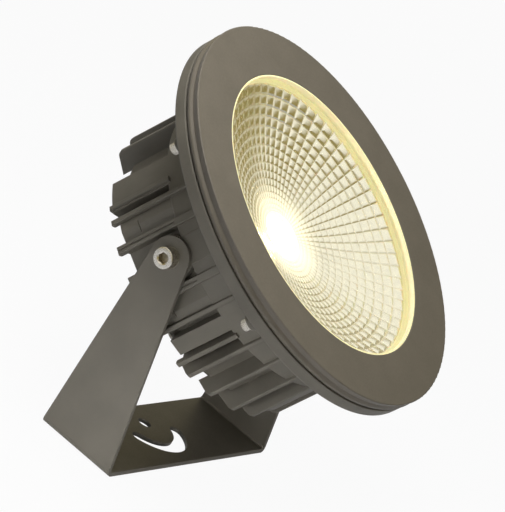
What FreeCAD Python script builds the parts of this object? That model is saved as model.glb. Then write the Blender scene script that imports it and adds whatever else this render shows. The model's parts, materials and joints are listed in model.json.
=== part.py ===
import FreeCAD, Part
import math
import os

# Round LED floodlight that tilts in a bent-sheet U bracket. Millimetres and degrees.
#
# Row frame: +X along the tilt axis, +Y behind the lamp, +Z up. The origin is the centre of the
# bracket's fixing hole, on the underside of the base.
#
# The lamp head is modelled in its own optical frame: +Z is the way the light leaves, z = 0 is the
# bezel's front face, +X is the tilt axis and +Y is the head's upper side. A depth is a distance
# behind the bezel's front face. place_head() tilts the finished pieces and sets them on the pivot.

Vector = FreeCAD.Vector

# ---------------------------------------------------------------- rest pose
beam_elevation = 59.7       # the beam above the horizon
ground_clearance = 7.0      # under the bezel when the lamp looks straight ahead
pivot_offset = 0.0          # tilt axis behind the centre of the fixing hole
pivot_depth = 56.5          # tilt axis behind the bezel's front face

# ---------------------------------------------------------------- bezel
bezel_radius = 122.5
bezel_thickness = 9.0
bezel_edge = 0.6            # rounding of the front edge
bezel_waist = 1.5           # how far the side draws in between front edge and lip
bezel_lip = 4.6             # height of the bead along the seam
bezel_lip_round = 1.6
bezel_face_width = 31.9     # from the opening to the side
opening_chamfer = 0.3
rebate_lip = 2.4            # metal in front of the glass
rebate_clearance = 0.5      # round the glass
tapped_skin = 3.5           # metal left in front of the blind tapped holes

# ---------------------------------------------------------------- glass and its gaskets
glass_overlap = 2.4         # the glass reaches this far past the opening
glass_thickness = 4.0
glass_edge = 0.5
glass_gasket_thickness = 0.6
glass_gasket_bead = 0.9      # its bead stands this far inside the opening
bezel_gasket_thickness = 0.6
bezel_gasket_recess = 3.2   # gasket's edge inside the bezel's side: the dark seam
bezel_gasket_margin = 6.8   # gasket's inner edge outside the glass rebate
cushion_width = 4.0

# ---------------------------------------------------------------- reflector
mouth_setback = 2.4         # the facets begin this far inside the opening
reflector_neck = 16.0       # radius of the hole over the LED
reflector_bowl = 25.0       # depth of the faceted bowl
reflector_wall = 0.8
reflector_columns = 64
reflector_rings = 16
reflector_pitch = 1.3       # above 1, the rings grow wider towards the mouth
flange_clearance = 0.3      # reflector flange inside the glass rebate
neck_height = 1.0           # the neck stands on the LED holder, past the wall

# ---------------------------------------------------------------- LED module
board_side = 28.0
board_thickness = 1.5
phosphor_radius = 11.5
phosphor_height = 0.5
pad_thickness = 0.3
holder_radius = 20.5
holder_height = 3.9
holder_aperture = 12.6
holder_pocket_play = 0.2
holder_ear_offset = 24.0
holder_ear_radius = 4.5
holder_ear_height = 2.1
holder_screw_radius = 1.5
holder_screw_head = 2.6
holder_screw_head_height = 1.6
holder_screw_length = 6.0

# ---------------------------------------------------------------- housing
rim_setback = 0.6           # inside the bezel's side
rim_thickness = 7.9
rim_edge = 1.4
rim_front_edge = 0.5
collar_wall = 4.0
collar_end = 47.3           # depth where the collar ends and the pockets open
optic_room_setback = 1.2    # inside the reflector's mouth
bulkhead_thickness = 6.0
pocket_depth = 9.5          # from the collar down to the barrel
barrel_wall = 8.5
land_depth = 86.0           # face that the rear cover is screwed to
fin_rise = 2.1              # fin tips above the collar
fin_tip_width = 3.0
fin_root_width = 4.4
fin_tip_round = 0.7
fin_overhang = 2.6          # behind the land, where the tips would meet the sloping rear edge
fin_corner_round = 4.0
fin_rear_rise = 6.6         # the rear edge climbs this much towards the cover
fin_angles = (61.0, 73.5, 84.0, -42.3, -54.4, -68.0, -81.0)
rib_angles = (11.25, -11.25, 22.7, -22.7, 29.0, -36.3)   # low ribs round each pivot
rib_overhang = 3.2          # behind the land: the ribs run on past the pad as short fingers
rib_finger_height = 3.7
rib_end_round = 1.0
plain_ribs = (29.0, -36.3)  # these do not run on over the collar
wide_rib_angle = 11.25      # beside the pivot, wider and grooved
wide_rib_extra = 2.0
wide_rib_groove = 1.0
# blocks behind the bezel's screws: first angle, last angle and how far they pass the land
side_blocks = ((27.4, 41.4, 2.6), (-33.6, -27.0, -1.7))
middle_blocks = ((86.5, 93.5, -2.5), (-93.5, -86.5, -2.5))
block_end_round = 1.0
pad_sink = 5.0              # flat pad at each pivot, below the collar
pad_setback = 1.4           # ahead of the land
pad_half_width = 33.0
pad_drop = 0.6              # the pad's corners stay this much under the collar
slit_depth = 71.6           # die slit across the pad, beside the second rib
slit_width = 0.8
slit_cut = 1.2
slit_start = 23.0
slit_end = 32.3

# ---------------------------------------------------------------- pivot
boss_radius = 13.0
boss_inner_reach = 3.0      # the boss shows this far inside the driver room
rail_half_width = 8.5
pivot_screw_radius = 4.0
pivot_head_radius = 6.5
pivot_head_height = 8.0
pivot_screw_length = 20.0
pivot_socket = 6.0          # across flats
pivot_running_gap = 0.05    # radial, in the arm
pivot_side_play = 0.05
pivot_washer_radius = 10.0
pivot_washer_thickness = 1.0

# ---------------------------------------------------------------- bracket
sheet_thickness = 2.5
bend_radius = 1.5           # inside the bend
arm_clearance = 1.3         # between the collar and an arm
arm_end_radius = 12.8
base_front = 38.5           # base's front edge ahead of the pivot
base_back = 16.0            # base's back edge behind the pivot
fixing_hole_radius = 4.5
slot_radius = 25.0          # centre line of the crescent slot
slot_width = 9.2
slot_half_angle = 63.0

# ---------------------------------------------------------------- bezel screws, M4
rim_screw_count = 6
rim_screw_start = 30.0
rim_screw_inset = 12.5      # inside the bezel's side
rim_screw_radius = 2.0
rim_screw_length = 20.0
rim_head_radius = 3.5
rim_head_height = 4.0
rim_socket = 3.0
rim_hole_play = 0.25
rim_boss_radius = 5.2
rim_boss_height = 5.8
rim_web_width = 5.0
rim_washer_radius = 4.5
rim_washer_thickness = 0.8
thread_play = 0.02          # radial, between a screw and its tapped hole
head_chamfer_share = 0.07   # chamfer of a cap screw's head, of its radius

# ---------------------------------------------------------------- rear cover and its screws
cover_thickness = 3.0
cover_gap = 0.5             # between the cover's edge and the fins
cover_edge = 0.8
cover_land = 4.0            # the cover reaches this far past the driver room
cover_plateau_inset = 21.0  # plateau's edge inside the cover's edge
cover_plateau_height = 3.0
cover_gasket_thickness = 0.8
cover_screw_inset = 8.5     # inside the cover's edge
cover_screw_length = 12.0
lug_radius = 5.5
lug_height = 12.0

# ---------------------------------------------------------------- driver, terminals and leads
driver_end_room = 15.0      # from each end of the driver to the room's wall
driver_low = -8.0           # lower side of the case, from the lamp's axis
driver_high = 40.0
driver_headroom = 1.1       # between the driver and the cover's lugs
driver_corner = 3.0
driver_ear = 8.0
driver_ear_width = 12.0
driver_ear_thickness = 2.0
driver_screw_length = 6.5
driver_screw_head_height = 2.6
terminal_end_room = 23.0    # from the terminal block to the room's wall
terminal_length = 24.0
terminal_low = -46.0
terminal_high = -28.0
terminal_height = 15.5
terminal_ways = 3
terminal_screw_radius = 1.5
terminal_screw_head = 2.8
terminal_screw_sink = 4.0   # screw heads lie this deep in the block
terminal_bite = 4.0         # thread of its screws in the bulkhead
lead_radius = 0.9
lead_spacing = 2.4
lead_bend = 4.0
lead_level = 2.0            # centre of the LED leads above the bulkhead
lead_hole_offset = 32.0     # bulkhead hole below the lamp's axis
lead_hole_radius = 5.0
lead_end_level = 9.0        # where the leads enter the driver, behind the bulkhead
grommet_bore = 3.2
grommet_flange = 7.0
grommet_flange_thickness = 1.0

# ---------------------------------------------------------------- cable gland, M16
gland_inset = 18.0          # gland's axis inside the plateau's edge
gland_thread_radius = 8.0
gland_hole_play = 0.1
gland_washer_radius = 11.0
gland_washer_thickness = 0.8
gland_hex = 22.0            # across flats
gland_hex_height = 6.0
gland_stem = 9.5            # thread below the hexagon
gland_bore = 5.0
gland_sleeve_radius = 9.0
gland_sleeve_height = 7.0
gland_nut_height = 3.5
gland_nut_hex = 20.0
seal_radius = 6.5
seal_bore = 4.0             # grips the cable
seal_seat = 3.0             # the bush stands this deep in the body's hexagon
seal_play = 0.1
cap_hex = 21.0
cap_height = 12.0
cap_nose_radius = 7.0
cap_play = 0.1
cap_roof = 2.5

# ---------------------------------------------------------------- shared
cast_round = 1.5            # roundings of the casting
cast_round_small = 0.8
cast_round_large = 2.0
hole_extra = 0.5            # blind holes are this much deeper than their screws
long_hole_extra = 1.0
MERGE = 2.0                 # how far an added form reaches into the body it grows from
OVERRUN = 5.0               # how far a cutter runs past the face it opens

# ---------------------------------------------------------------- worked out from the sizes
pivot_height = bezel_radius + ground_clearance
opening_radius = bezel_radius - bezel_face_width
glass_radius = opening_radius + glass_overlap
rebate_radius = glass_radius + rebate_clearance
reflector_mouth = opening_radius - mouth_setback
optic_room_radius = reflector_mouth - optic_room_setback
collar_radius = optic_room_radius + collar_wall
barrel_radius = collar_radius - pocket_depth
driver_room_radius = barrel_radius - barrel_wall
rim_radius = bezel_radius - rim_setback
rim_screw_circle = bezel_radius - rim_screw_inset
fin_radius = collar_radius + fin_rise
fin_corner_depth = land_depth + fin_overhang
rib_end = land_depth + rib_overhang
rib_finger_floor = fin_radius - rib_finger_height
pad_face = collar_radius - pad_sink
pad_end = land_depth - pad_setback
bracket_inner = collar_radius + arm_clearance
bracket_half_width = bracket_inner + sheet_thickness
boss_face = bracket_inner - pivot_washer_thickness - pivot_side_play
gasket_front = bezel_thickness
housing_front = bezel_thickness + bezel_gasket_thickness
rim_back = housing_front + rim_thickness
glass_front = rebate_lip + glass_gasket_thickness
glass_back = glass_front + glass_thickness
flange_back = glass_back + reflector_wall
flange_radius = rebate_radius - flange_clearance
bowl_end = glass_back + reflector_bowl
holder_front = bowl_end + neck_height
bulkhead_front = holder_front + holder_height
bulkhead_back = bulkhead_front + bulkhead_thickness
cover_radius = driver_room_radius + cover_land
cover_screw_circle = cover_radius - cover_screw_inset
cover_plateau_radius = cover_radius - cover_plateau_inset
gland_offset = cover_plateau_radius - gland_inset
cover_front = land_depth + cover_gasket_thickness
cover_back = cover_front + cover_thickness
plateau_back = cover_back + cover_plateau_height
rim_boss_back = rim_back + rim_boss_height
washer_back = rim_boss_back + rim_washer_thickness
fin_inner_radius = cover_radius + cover_gap
driver_half_length = driver_room_radius - driver_end_room
driver_height = land_depth - lug_height - driver_headroom - bulkhead_back
terminal_x = driver_room_radius - terminal_end_room - terminal_length


# ================================================================ drawing helpers
def optical(across, depth):
    """Point of a profile that is turned about the lamp's axis."""
    return Vector(across, 0, -depth)


def side_view(along_y, up):
    """Point of an outline in the bracket's side view."""
    return Vector(0, along_y, up)


def front_view(along_x, up):
    """Point of an outline in the bracket's front view."""
    return Vector(along_x, 0, up)


def top_view(along_x, along_y):
    """Point of an outline that is seen along the lamp's axis."""
    return Vector(along_x, along_y, 0)


def corner_arc(before, corner, after, radius):
    """Start, middle and end of the arc that rounds one corner."""
    back = (before - corner).normalize()
    ahead = (after - corner).normalize()
    half = back.getAngle(ahead) / 2
    reach = radius / math.tan(half)
    middle_way = (back + ahead).normalize()
    centre = corner + middle_way * (radius / math.sin(half))
    return corner + back * reach, centre - middle_way * radius, corner + ahead * reach


def outline(corners, view):
    """Closed wire through corners (a, b) or (a, b, rounding radius)."""
    points = [view(corner[0], corner[1]) for corner in corners]
    radii = [corner[2] if len(corner) > 2 else 0 for corner in corners]
    edges = []
    stops = []
    for index, point in enumerate(points):
        if radii[index] > 0:
            start, middle, end = corner_arc(points[index - 1], point,
                                            points[(index + 1) % len(points)], radii[index])
            edges.append(Part.Arc(start, middle, end).toShape())
            stops.append((start, end))
        else:
            stops.append((point, point))
    for index, stop in enumerate(stops):
        start = stop[1]
        end = stops[(index + 1) % len(stops)][0]
        if (end - start).Length > 1e-6:
            edges.append(Part.LineSegment(start, end).toShape())
    return Part.Wire(Part.__sortEdges__(edges))


def turned(corners, start=0.0, sweep=360.0):
    """Solid of revolution about the lamp's axis, from corners (radius, depth[, rounding])."""
    face = Part.Face(outline(corners, optical))
    if start:
        face.rotate(Vector(), Vector(0, 0, 1), start)
    return face.revolve(Vector(), Vector(0, 0, 1), sweep)


def rod(radius, front, back, x=0.0, y=0.0):
    """Round rod along the lamp's axis, between two depths."""
    return Part.makeCylinder(radius, back - front, Vector(x, y, -back))


def tube(radius, bore, front, back, x=0.0, y=0.0):
    """Rod with a concentric hole."""
    return rod(radius, front, back, x, y).cut(rod(bore, front, back, x, y))


def block(x0, x1, y0, y1, front, back):
    """Box between two sides, two heights and two depths."""
    return Part.makeBox(x1 - x0, y1 - y0, back - front, Vector(x0, y0, -back))


def hexagon(across_flats, front, back, x=0.0, y=0.0):
    """Hexagonal prism along the lamp's axis, between two depths."""
    radius = across_flats / math.sqrt(3)
    corners = [(x + radius * math.cos(math.radians(60 * k)),
                y + radius * math.sin(math.radians(60 * k))) for k in range(6)]
    prism = Part.Face(outline(corners, top_view)).extrude(Vector(0, 0, back - front))
    prism.translate(Vector(0, 0, -back))
    return prism


def ring_of_points(count, radius, start):
    """Evenly spaced (x, y) points on a circle about the lamp's axis."""
    angles = [math.radians(start + 360 / count * k) for k in range(count)]
    return [(radius * math.cos(angle), radius * math.sin(angle)) for angle in angles]


def fused(shapes):
    """One clean solid from shapes that touch or overlap."""
    return shapes[0].multiFuse(shapes[1:]).removeSplitter()


def socket_screw(radius, length, head_radius, head_height, socket, seat, x=0.0, y=0.0):
    """Socket-head screw that points forwards: its head lies behind the depth of its seat."""
    shank = rod(radius, seat - length, seat, x, y)
    head = rod(head_radius, seat, seat + head_height, x, y)
    head = head.makeChamfer(head_radius * head_chamfer_share, [head.Edges[0], head.Edges[2]])
    recess = hexagon(socket, seat + head_height / 2, seat + head_height + OVERRUN, x, y)
    return fused([shank, head]).cut(recess)


def both_sides(shape):
    """A shape and its mirror image across the middle of the lamp."""
    return [shape, shape.mirror(Vector(), Vector(1, 0, 0))]


# ================================================================ bezel, glass, gaskets
def rim_screw_points():
    """Where the screws between housing and bezel stand."""
    return ring_of_points(rim_screw_count, rim_screw_circle, rim_screw_start)


def make_front_bezel():
    """Cast ring: flat face, drawn-in side, bead along the seam, glass rebate behind."""
    bead = bezel_thickness - bezel_lip
    ring = turned([
        (opening_radius, 0),
        (bezel_radius, 0, bezel_edge),
        (bezel_radius - bezel_waist, bead, bezel_edge / 2),
        (bezel_radius, bead + bezel_lip / 2, bezel_lip_round),
        (bezel_radius - bezel_waist, bezel_thickness, bezel_edge),
        (rebate_radius, bezel_thickness),
        (rebate_radius, rebate_lip),
        (opening_radius - opening_chamfer, rebate_lip),
        (opening_radius - opening_chamfer, opening_chamfer),
    ])
    holes = [rod(rim_screw_radius + thread_play, tapped_skin, bezel_thickness + OVERRUN, x, y)
             for x, y in rim_screw_points()]
    return ring.cut(holes)


def make_glass_gasket():
    """Silicone ring round the glass's edge, with a bead that lines the opening."""
    wall = opening_radius - opening_chamfer
    return turned([
        (wall - glass_gasket_bead, opening_chamfer),
        (wall, opening_chamfer),
        (wall, rebate_lip),
        (rebate_radius, rebate_lip),
        (rebate_radius, glass_back),
        (glass_radius, glass_back),
        (glass_radius, glass_front),
        (wall - glass_gasket_bead, glass_front),
    ])


def make_front_glass():
    """Toughened flat glass with ground edges."""
    return turned([
        (0, glass_front),
        (glass_radius - glass_edge, glass_front),
        (glass_radius, glass_front + glass_edge),
        (glass_radius, glass_back - glass_edge),
        (glass_radius - glass_edge, glass_back),
        (0, glass_back),
    ])


def make_bezel_gasket():
    """Flat gasket of the seam, with a hole for each screw."""
    ring = tube(bezel_radius - bezel_gasket_recess, rebate_radius + bezel_gasket_margin,
                gasket_front, housing_front)
    holes = [rod(rim_screw_radius + rim_hole_play, 0, housing_front + OVERRUN, x, y)
             for x, y in rim_screw_points()]
    return ring.cut(holes)


def make_reflector_cushion():
    """Silicone ring that presses the reflector's flange against the glass."""
    return tube(flange_radius, flange_radius - cushion_width, flange_back, housing_front)


# ================================================================ reflector
def bowl_depth(radius):
    """Depth of the parabolic bowl at a radius."""
    fall = (reflector_mouth ** 2 - radius ** 2) / (reflector_mouth ** 2 - reflector_neck ** 2)
    return glass_back + reflector_bowl * fall


def bowl_radii():
    """Radii of the facet rings, from the neck to the mouth."""
    span = reflector_mouth - reflector_neck
    return [reflector_neck + span * (k / reflector_rings) ** reflector_pitch
            for k in range(reflector_rings + 1)]


def polygon_ring(radius, depth):
    """Corners of one ring of facets."""
    step = 2 * math.pi / reflector_columns
    return [Vector(radius * math.cos(k * step), radius * math.sin(k * step), -depth)
            for k in range(reflector_columns)]


def faceted_air():
    """The air inside the bowl: one flat facet for each column of each ring."""
    rings = [polygon_ring(reflector_neck, holder_front + OVERRUN)]
    rings += [polygon_ring(radius, bowl_depth(radius)) for radius in bowl_radii()]
    rings.append(polygon_ring(reflector_mouth, glass_back - OVERRUN))
    faces = [Part.Face(Part.makePolygon(ring + ring[:1])) for ring in (rings[0], rings[-1])]
    for low, high in zip(rings, rings[1:]):
        for k in range(reflector_columns):
            after = (k + 1) % reflector_columns
            corners = [low[k], low[after], high[after], high[k], low[k]]
            faces.append(Part.Face(Part.makePolygon(corners)))
    return Part.Solid(Part.Shell(faces))


def make_reflector():
    """Faceted aluminium bowl with a flat flange and a short neck."""
    def behind(radius):
        slope = 2 * reflector_bowl * radius / (reflector_mouth ** 2 - reflector_neck ** 2)
        normal = math.hypot(1, slope)
        return Vector(radius + reflector_wall * slope / normal, 0,
                      -bowl_depth(radius) - reflector_wall / normal)

    back_points = [behind(radius) for radius in bowl_radii()[::4]]
    curve = Part.BSplineCurve()
    curve.interpolate(back_points)
    low = back_points[0]
    high = back_points[-1]
    bottom = bowl_end + reflector_wall
    path = [optical(low.x, bottom), optical(0, bottom), optical(0, glass_back),
            optical(flange_radius, glass_back), optical(flange_radius, flange_back),
            optical(high.x, flange_back)]
    edges = [Part.LineSegment(a, b).toShape() for a, b in zip(path, path[1:])]
    edges += [curve.toShape()]
    edges += [Part.LineSegment(path[-1], high).toShape()] if (path[-1] - high).Length > 1e-6 else []
    edges += [Part.LineSegment(low, path[0]).toShape()]
    blank = Part.Face(Part.Wire(Part.__sortEdges__(edges)))
    blank = blank.revolve(Vector(), Vector(0, 0, 1), 360)
    neck = rod(reflector_neck + reflector_wall, bowl_end - reflector_wall, holder_front)
    return fused([blank, neck]).cut(faceted_air())


# ================================================================ LED module
def holder_ears():
    """Where the screws of the LED holder stand."""
    return [(holder_ear_offset, 0), (-holder_ear_offset, 0)]


def make_thermal_pad():
    """Pad between the LED board and the bulkhead."""
    half = board_side / 2
    return block(-half, half, -half, half, bulkhead_front - pad_thickness, bulkhead_front)


def make_cob_board():
    """Ceramic board of the LED."""
    half = board_side / 2
    back = bulkhead_front - pad_thickness
    return block(-half, half, -half, half, back - board_thickness, back)


def make_cob_phosphor():
    """Phosphor disc that lights."""
    back = bulkhead_front - pad_thickness - board_thickness
    return rod(phosphor_radius, back - phosphor_height, back)


def make_cob_holder():
    """Plastic frame that presses the board to the bulkhead and carries the reflector."""
    half = board_side / 2 + holder_pocket_play
    board_front = bulkhead_front - pad_thickness - board_thickness
    ear_front = bulkhead_front - holder_ear_height
    body = [rod(holder_radius, holder_front, bulkhead_front)]
    for x, y in holder_ears():
        body.append(rod(holder_ear_radius, ear_front, bulkhead_front, x, y))
    body = fused(body)
    cutters = [
        rod(holder_aperture, holder_front - OVERRUN, bulkhead_front + OVERRUN),
        block(-half, half, -half, half, board_front, bulkhead_front + OVERRUN),
    ]
    cutters += [rod(holder_screw_radius + thread_play, holder_front - OVERRUN,
                    bulkhead_front + OVERRUN, x, y) for x, y in holder_ears()]
    return body.cut(cutters)


def make_cob_holder_screws():
    """Two small pan-head screws."""
    seat = bulkhead_front - holder_ear_height
    return [fused([rod(holder_screw_radius, seat, seat + holder_screw_length, x, y),
                   rod(holder_screw_head, seat - holder_screw_head_height, seat, x, y)])
            for x, y in holder_ears()]


# ================================================================ housing
def housing_body():
    """Rim, collar, barrel and bulkhead as one turned form."""
    return turned([
        (driver_room_radius, land_depth),
        (barrel_radius, land_depth, cast_round),
        (barrel_radius, collar_end, cast_round_small),
        (collar_radius, collar_end, cast_round_small),
        (collar_radius, rim_back, cast_round),
        (rim_radius, rim_back, rim_edge),
        (rim_radius, housing_front, rim_front_edge),
        (optic_room_radius, housing_front),
        (optic_room_radius, bulkhead_front, cast_round_large),
        (0, bulkhead_front),
        (0, bulkhead_back),
        (driver_room_radius, bulkhead_back, cast_round_large),
    ])


def fin_envelope():
    """Space of the tall fins: straight tips, rounded corners, a sloping rear edge."""
    inside = driver_room_radius + MERGE
    return turned([
        (inside, rim_back - MERGE),
        (fin_radius, rim_back - MERGE),
        (fin_radius, fin_corner_depth, fin_corner_round),
        (fin_inner_radius, fin_corner_depth + fin_rear_rise, cast_round_small),
        (fin_inner_radius, land_depth - MERGE),
        (inside, land_depth - MERGE),
    ])


def rib_envelope():
    """Space of the low ribs: they end as fingers behind the pad."""
    inside = driver_room_radius + MERGE
    return turned([
        (inside, rim_back - MERGE),
        (fin_radius, rim_back - MERGE),
        (fin_radius, rib_end, rib_end_round),
        (rib_finger_floor, rib_end, rib_end_round),
        (rib_finger_floor, pad_end),
        (inside, pad_end),
    ])


def fin_bar(front, tip_width, tip_radius):
    """One tapered fin along the barrel, on the +X side, before its rear end is shaped."""
    root = barrel_radius - MERGE
    half_root = tip_width / 2 + (fin_root_width - fin_tip_width) / 2
    bar = Part.Face(outline([
        (root, -half_root),
        (tip_radius, -tip_width / 2, fin_tip_round),
        (tip_radius, tip_width / 2, fin_tip_round),
        (root, half_root),
    ], top_view))
    back = fin_corner_depth + fin_rear_rise + MERGE
    bar = bar.extrude(Vector(0, 0, back - front))
    bar.translate(Vector(0, 0, -back))
    return bar


def at_angle(shape, angle):
    """A shape turned about the lamp's axis, with its mirror image."""
    shape.rotate(Vector(), Vector(0, 0, 1), angle)
    return both_sides(shape)


def housing_fins():
    """Tall fins above and below, shaped by their common envelope."""
    bars = []
    for angle in fin_angles:
        bars += at_angle(fin_bar(rim_back - MERGE, fin_tip_width, fin_radius), angle)
    envelope = fin_envelope()
    return [bar.common(envelope) for bar in bars]


def wide_rib():
    """Rib beside the pivot, with a groove along its rear half."""
    half = wide_rib_groove / 2
    groove = block(fin_radius - wide_rib_groove, fin_radius + OVERRUN, -half, half,
                   collar_end, land_depth + OVERRUN)
    return fin_bar(rim_back - MERGE, fin_tip_width + wide_rib_extra, fin_radius).cut(groove)


def pivot_ribs():
    """Low ribs round each pivot, and the thin one behind its boss."""
    bars = both_sides(fin_bar(pivot_depth, fin_tip_width, boss_face))
    for angle in rib_angles:
        if abs(angle) == wide_rib_angle:
            bar = wide_rib()
        elif angle in plain_ribs:
            bar = fin_bar(collar_end - MERGE, fin_tip_width, fin_radius)
        else:
            bar = fin_bar(rim_back - MERGE, fin_tip_width, fin_radius)
        bars += at_angle(bar, angle)
    envelope = rib_envelope()
    return [bar.common(envelope) for bar in bars]


def pivot_pads():
    """Flat pads that carry the ribs and bosses."""
    pad = block(math.sqrt(barrel_radius ** 2 - pad_half_width ** 2) - MERGE, pad_face,
                -pad_half_width, pad_half_width, collar_end - MERGE, pad_end)
    return both_sides(pad.common(rod(collar_radius - pad_drop, collar_end - MERGE, pad_end)))


def raised_block(first, last, end):
    """Part of a turn at the collar's radius, between two angles, down to a rear end."""
    return turned([
        (barrel_radius - MERGE, collar_end - MERGE),
        (collar_radius, collar_end - MERGE),
        (collar_radius, end, block_end_round),
        (barrel_radius - MERGE, end),
    ], first, last - first)


def screw_blocks():
    """Raised blocks behind the bezel's screws."""
    blocks = [raised_block(first, last, land_depth + past) for first, last, past in middle_blocks]
    for first, last, past in side_blocks:
        blocks += both_sides(raised_block(first, last, land_depth + past))
    return blocks


def pivot_bosses():
    """Round bosses for the pivot screws, with a flat rail from each to the rim."""
    inner_end = driver_room_radius - boss_inner_reach
    boss = Part.makeCylinder(boss_radius, boss_face - inner_end,
                             Vector(inner_end, 0, -pivot_depth), Vector(1, 0, 0))
    rail = block(barrel_radius - MERGE, boss_face, -rail_half_width, rail_half_width,
                 rim_back - MERGE, pivot_depth)
    return both_sides(boss) + both_sides(rail)


def rim_bosses():
    """Bosses behind the rim for the bezel's screws, each on a web from the collar."""
    web = block(collar_radius - MERGE, rim_screw_circle, -rim_web_width / 2, rim_web_width / 2,
                rim_back - MERGE, rim_boss_back)
    forms = []
    for k, (x, y) in enumerate(rim_screw_points()):
        forms.append(rod(rim_boss_radius, rim_back - MERGE, rim_boss_back, x, y))
        turned_web = web.copy()
        turned_web.rotate(Vector(), Vector(0, 0, 1), rim_screw_start + 360 / rim_screw_count * k)
        forms.append(turned_web)
    return forms


def cover_screw_points():
    """Where the rear cover's screws stand."""
    return ring_of_points(rim_screw_count, cover_screw_circle, rim_screw_start)


def cover_lugs():
    """Lugs inside the driver room for the rear cover's screws."""
    return [rod(lug_radius, land_depth - lug_height, land_depth, x, y)
            for x, y in cover_screw_points()]


def die_slits():
    """Thin slits across the pads, beside the second rib."""
    slits = []
    for sign in (1, -1):
        low, high = sorted((sign * slit_start, sign * slit_end))
        slits += both_sides(block(pad_face - slit_cut, pad_face + MERGE, low, high,
                                  slit_depth, slit_depth + slit_width))
    return slits


def housing_holes():
    """Screw, lead and pivot holes."""
    holes = [rod(rim_screw_radius + rim_hole_play, 0, rim_boss_back + OVERRUN, x, y)
             for x, y in rim_screw_points()]
    tapped = rim_screw_radius + thread_play
    cover_hole_end = cover_back - cover_screw_length - long_hole_extra
    holes += [rod(tapped, cover_hole_end, land_depth + OVERRUN, x, y)
              for x, y in cover_screw_points()]
    driver_hole_end = bulkhead_back + driver_ear_thickness - driver_screw_length - hole_extra
    holes += [rod(tapped, driver_hole_end, bulkhead_back + OVERRUN, x, y)
              for x, y in driver_screw_points()]
    holes += [rod(holder_screw_radius + thread_play, bulkhead_front - OVERRUN,
                  bulkhead_front - holder_ear_height + holder_screw_length + hole_extra, x, y)
              for x, y in holder_ears()]
    holes += [rod(terminal_screw_radius + thread_play, bulkhead_back - terminal_bite - hole_extra,
                  bulkhead_back + OVERRUN, x, y) for x, y in terminal_screw_points()]
    holes.append(rod(lead_hole_radius, bulkhead_front - OVERRUN, bulkhead_back + OVERRUN,
                     0, -lead_hole_offset))
    pivot_end = bracket_half_width - pivot_screw_length - long_hole_extra
    pivot_hole = Part.makeCylinder(pivot_screw_radius + thread_play, OVERRUN + boss_face - pivot_end,
                                   Vector(pivot_end, 0, -pivot_depth), Vector(1, 0, 0))
    return holes + both_sides(pivot_hole)


def make_housing():
    """Die-cast housing with its fins."""
    forms = [housing_body()] + housing_fins() + pivot_pads() + pivot_ribs() + screw_blocks()
    forms += pivot_bosses() + rim_bosses() + cover_lugs()
    return fused(forms).cut(housing_holes() + die_slits())


# ================================================================ bezel screws
def make_bezel_screws():
    """Socket-head screws from behind, through the rim into the bezel."""
    return [socket_screw(rim_screw_radius, rim_screw_length, rim_head_radius, rim_head_height,
                         rim_socket, washer_back, x, y) for x, y in rim_screw_points()]


def make_bezel_washers():
    """Plain washers under the bezel screws."""
    return [tube(rim_washer_radius, rim_screw_radius + rim_hole_play, rim_boss_back,
                 washer_back, x, y) for x, y in rim_screw_points()]


# ================================================================ rear cover
def gland_place():
    """Axis of the cable gland."""
    return 0.0, -gland_offset


def make_rear_cover():
    """Cover with a raised, hollow middle that carries the gland."""
    cover = turned([
        (0, plateau_back),
        (cover_plateau_radius, plateau_back, cast_round),
        (cover_plateau_radius + cover_plateau_height, cover_back, cast_round),
        (cover_radius, cover_back, cover_edge),
        (cover_radius, cover_front),
        (cover_plateau_radius - cover_thickness, cover_front),
        (cover_plateau_radius - cover_thickness, cover_front + cover_plateau_height),
        (0, cover_front + cover_plateau_height),
    ])
    holes = [rod(rim_screw_radius + rim_hole_play, cover_front - OVERRUN, plateau_back + OVERRUN,
                 x, y) for x, y in cover_screw_points()]
    holes.append(rod(gland_thread_radius + gland_hole_play, cover_front - OVERRUN,
                     plateau_back + OVERRUN, *gland_place()))
    return cover.cut(holes)


def make_rear_gasket():
    """Flat gasket on the housing's land, with a lobe round each screw."""
    forms = [tube(cover_radius, driver_room_radius, land_depth, cover_front)]
    forms += [rod(lug_radius, land_depth, cover_front, x, y) for x, y in cover_screw_points()]
    holes = [rod(rim_screw_radius + rim_hole_play, land_depth - OVERRUN, cover_front + OVERRUN,
                 x, y) for x, y in cover_screw_points()]
    return fused(forms).cut(holes)


def make_rear_cover_screws():
    """Socket-head screws of the rear cover."""
    return [socket_screw(rim_screw_radius, cover_screw_length, rim_head_radius, rim_head_height,
                         rim_socket, cover_back, x, y) for x, y in cover_screw_points()]


# ================================================================ cable gland
def make_gland_washer():
    """Flat seal between the gland's hexagon and the cover."""
    return tube(gland_washer_radius, gland_thread_radius, plateau_back,
                plateau_back + gland_washer_thickness, *gland_place())


def make_gland_body():
    """Hexagon with a threaded stem through the cover and a sleeve for the cap."""
    hex_front = plateau_back + gland_washer_thickness
    hex_back = hex_front + gland_hex_height
    place = gland_place()
    stem_front = hex_front - gland_stem
    body = fused([
        rod(gland_thread_radius, stem_front, hex_front + MERGE, *place),
        hexagon(gland_hex, hex_front, hex_back, *place),
        rod(gland_sleeve_radius, hex_back - MERGE, hex_back + gland_sleeve_height, *place),
    ])
    return body.cut([
        rod(gland_bore, stem_front - OVERRUN, hex_back + OVERRUN, *place),
        rod(seal_radius + seal_play, hex_back - seal_seat,
            hex_back + gland_sleeve_height + OVERRUN, *place),
    ])


def make_gland_locknut():
    """Nut inside the cover."""
    back = cover_front + cover_plateau_height
    nut = hexagon(gland_nut_hex, back - gland_nut_height, back, *gland_place())
    return nut.cut(rod(gland_thread_radius + thread_play, back - gland_nut_height - OVERRUN,
                       back + OVERRUN, *gland_place()))


def seal_ends():
    """Front and back of the rubber bush."""
    front = plateau_back + gland_washer_thickness + gland_hex_height - seal_seat
    back = front + seal_seat + cap_height - cap_roof
    return front, back


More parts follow.
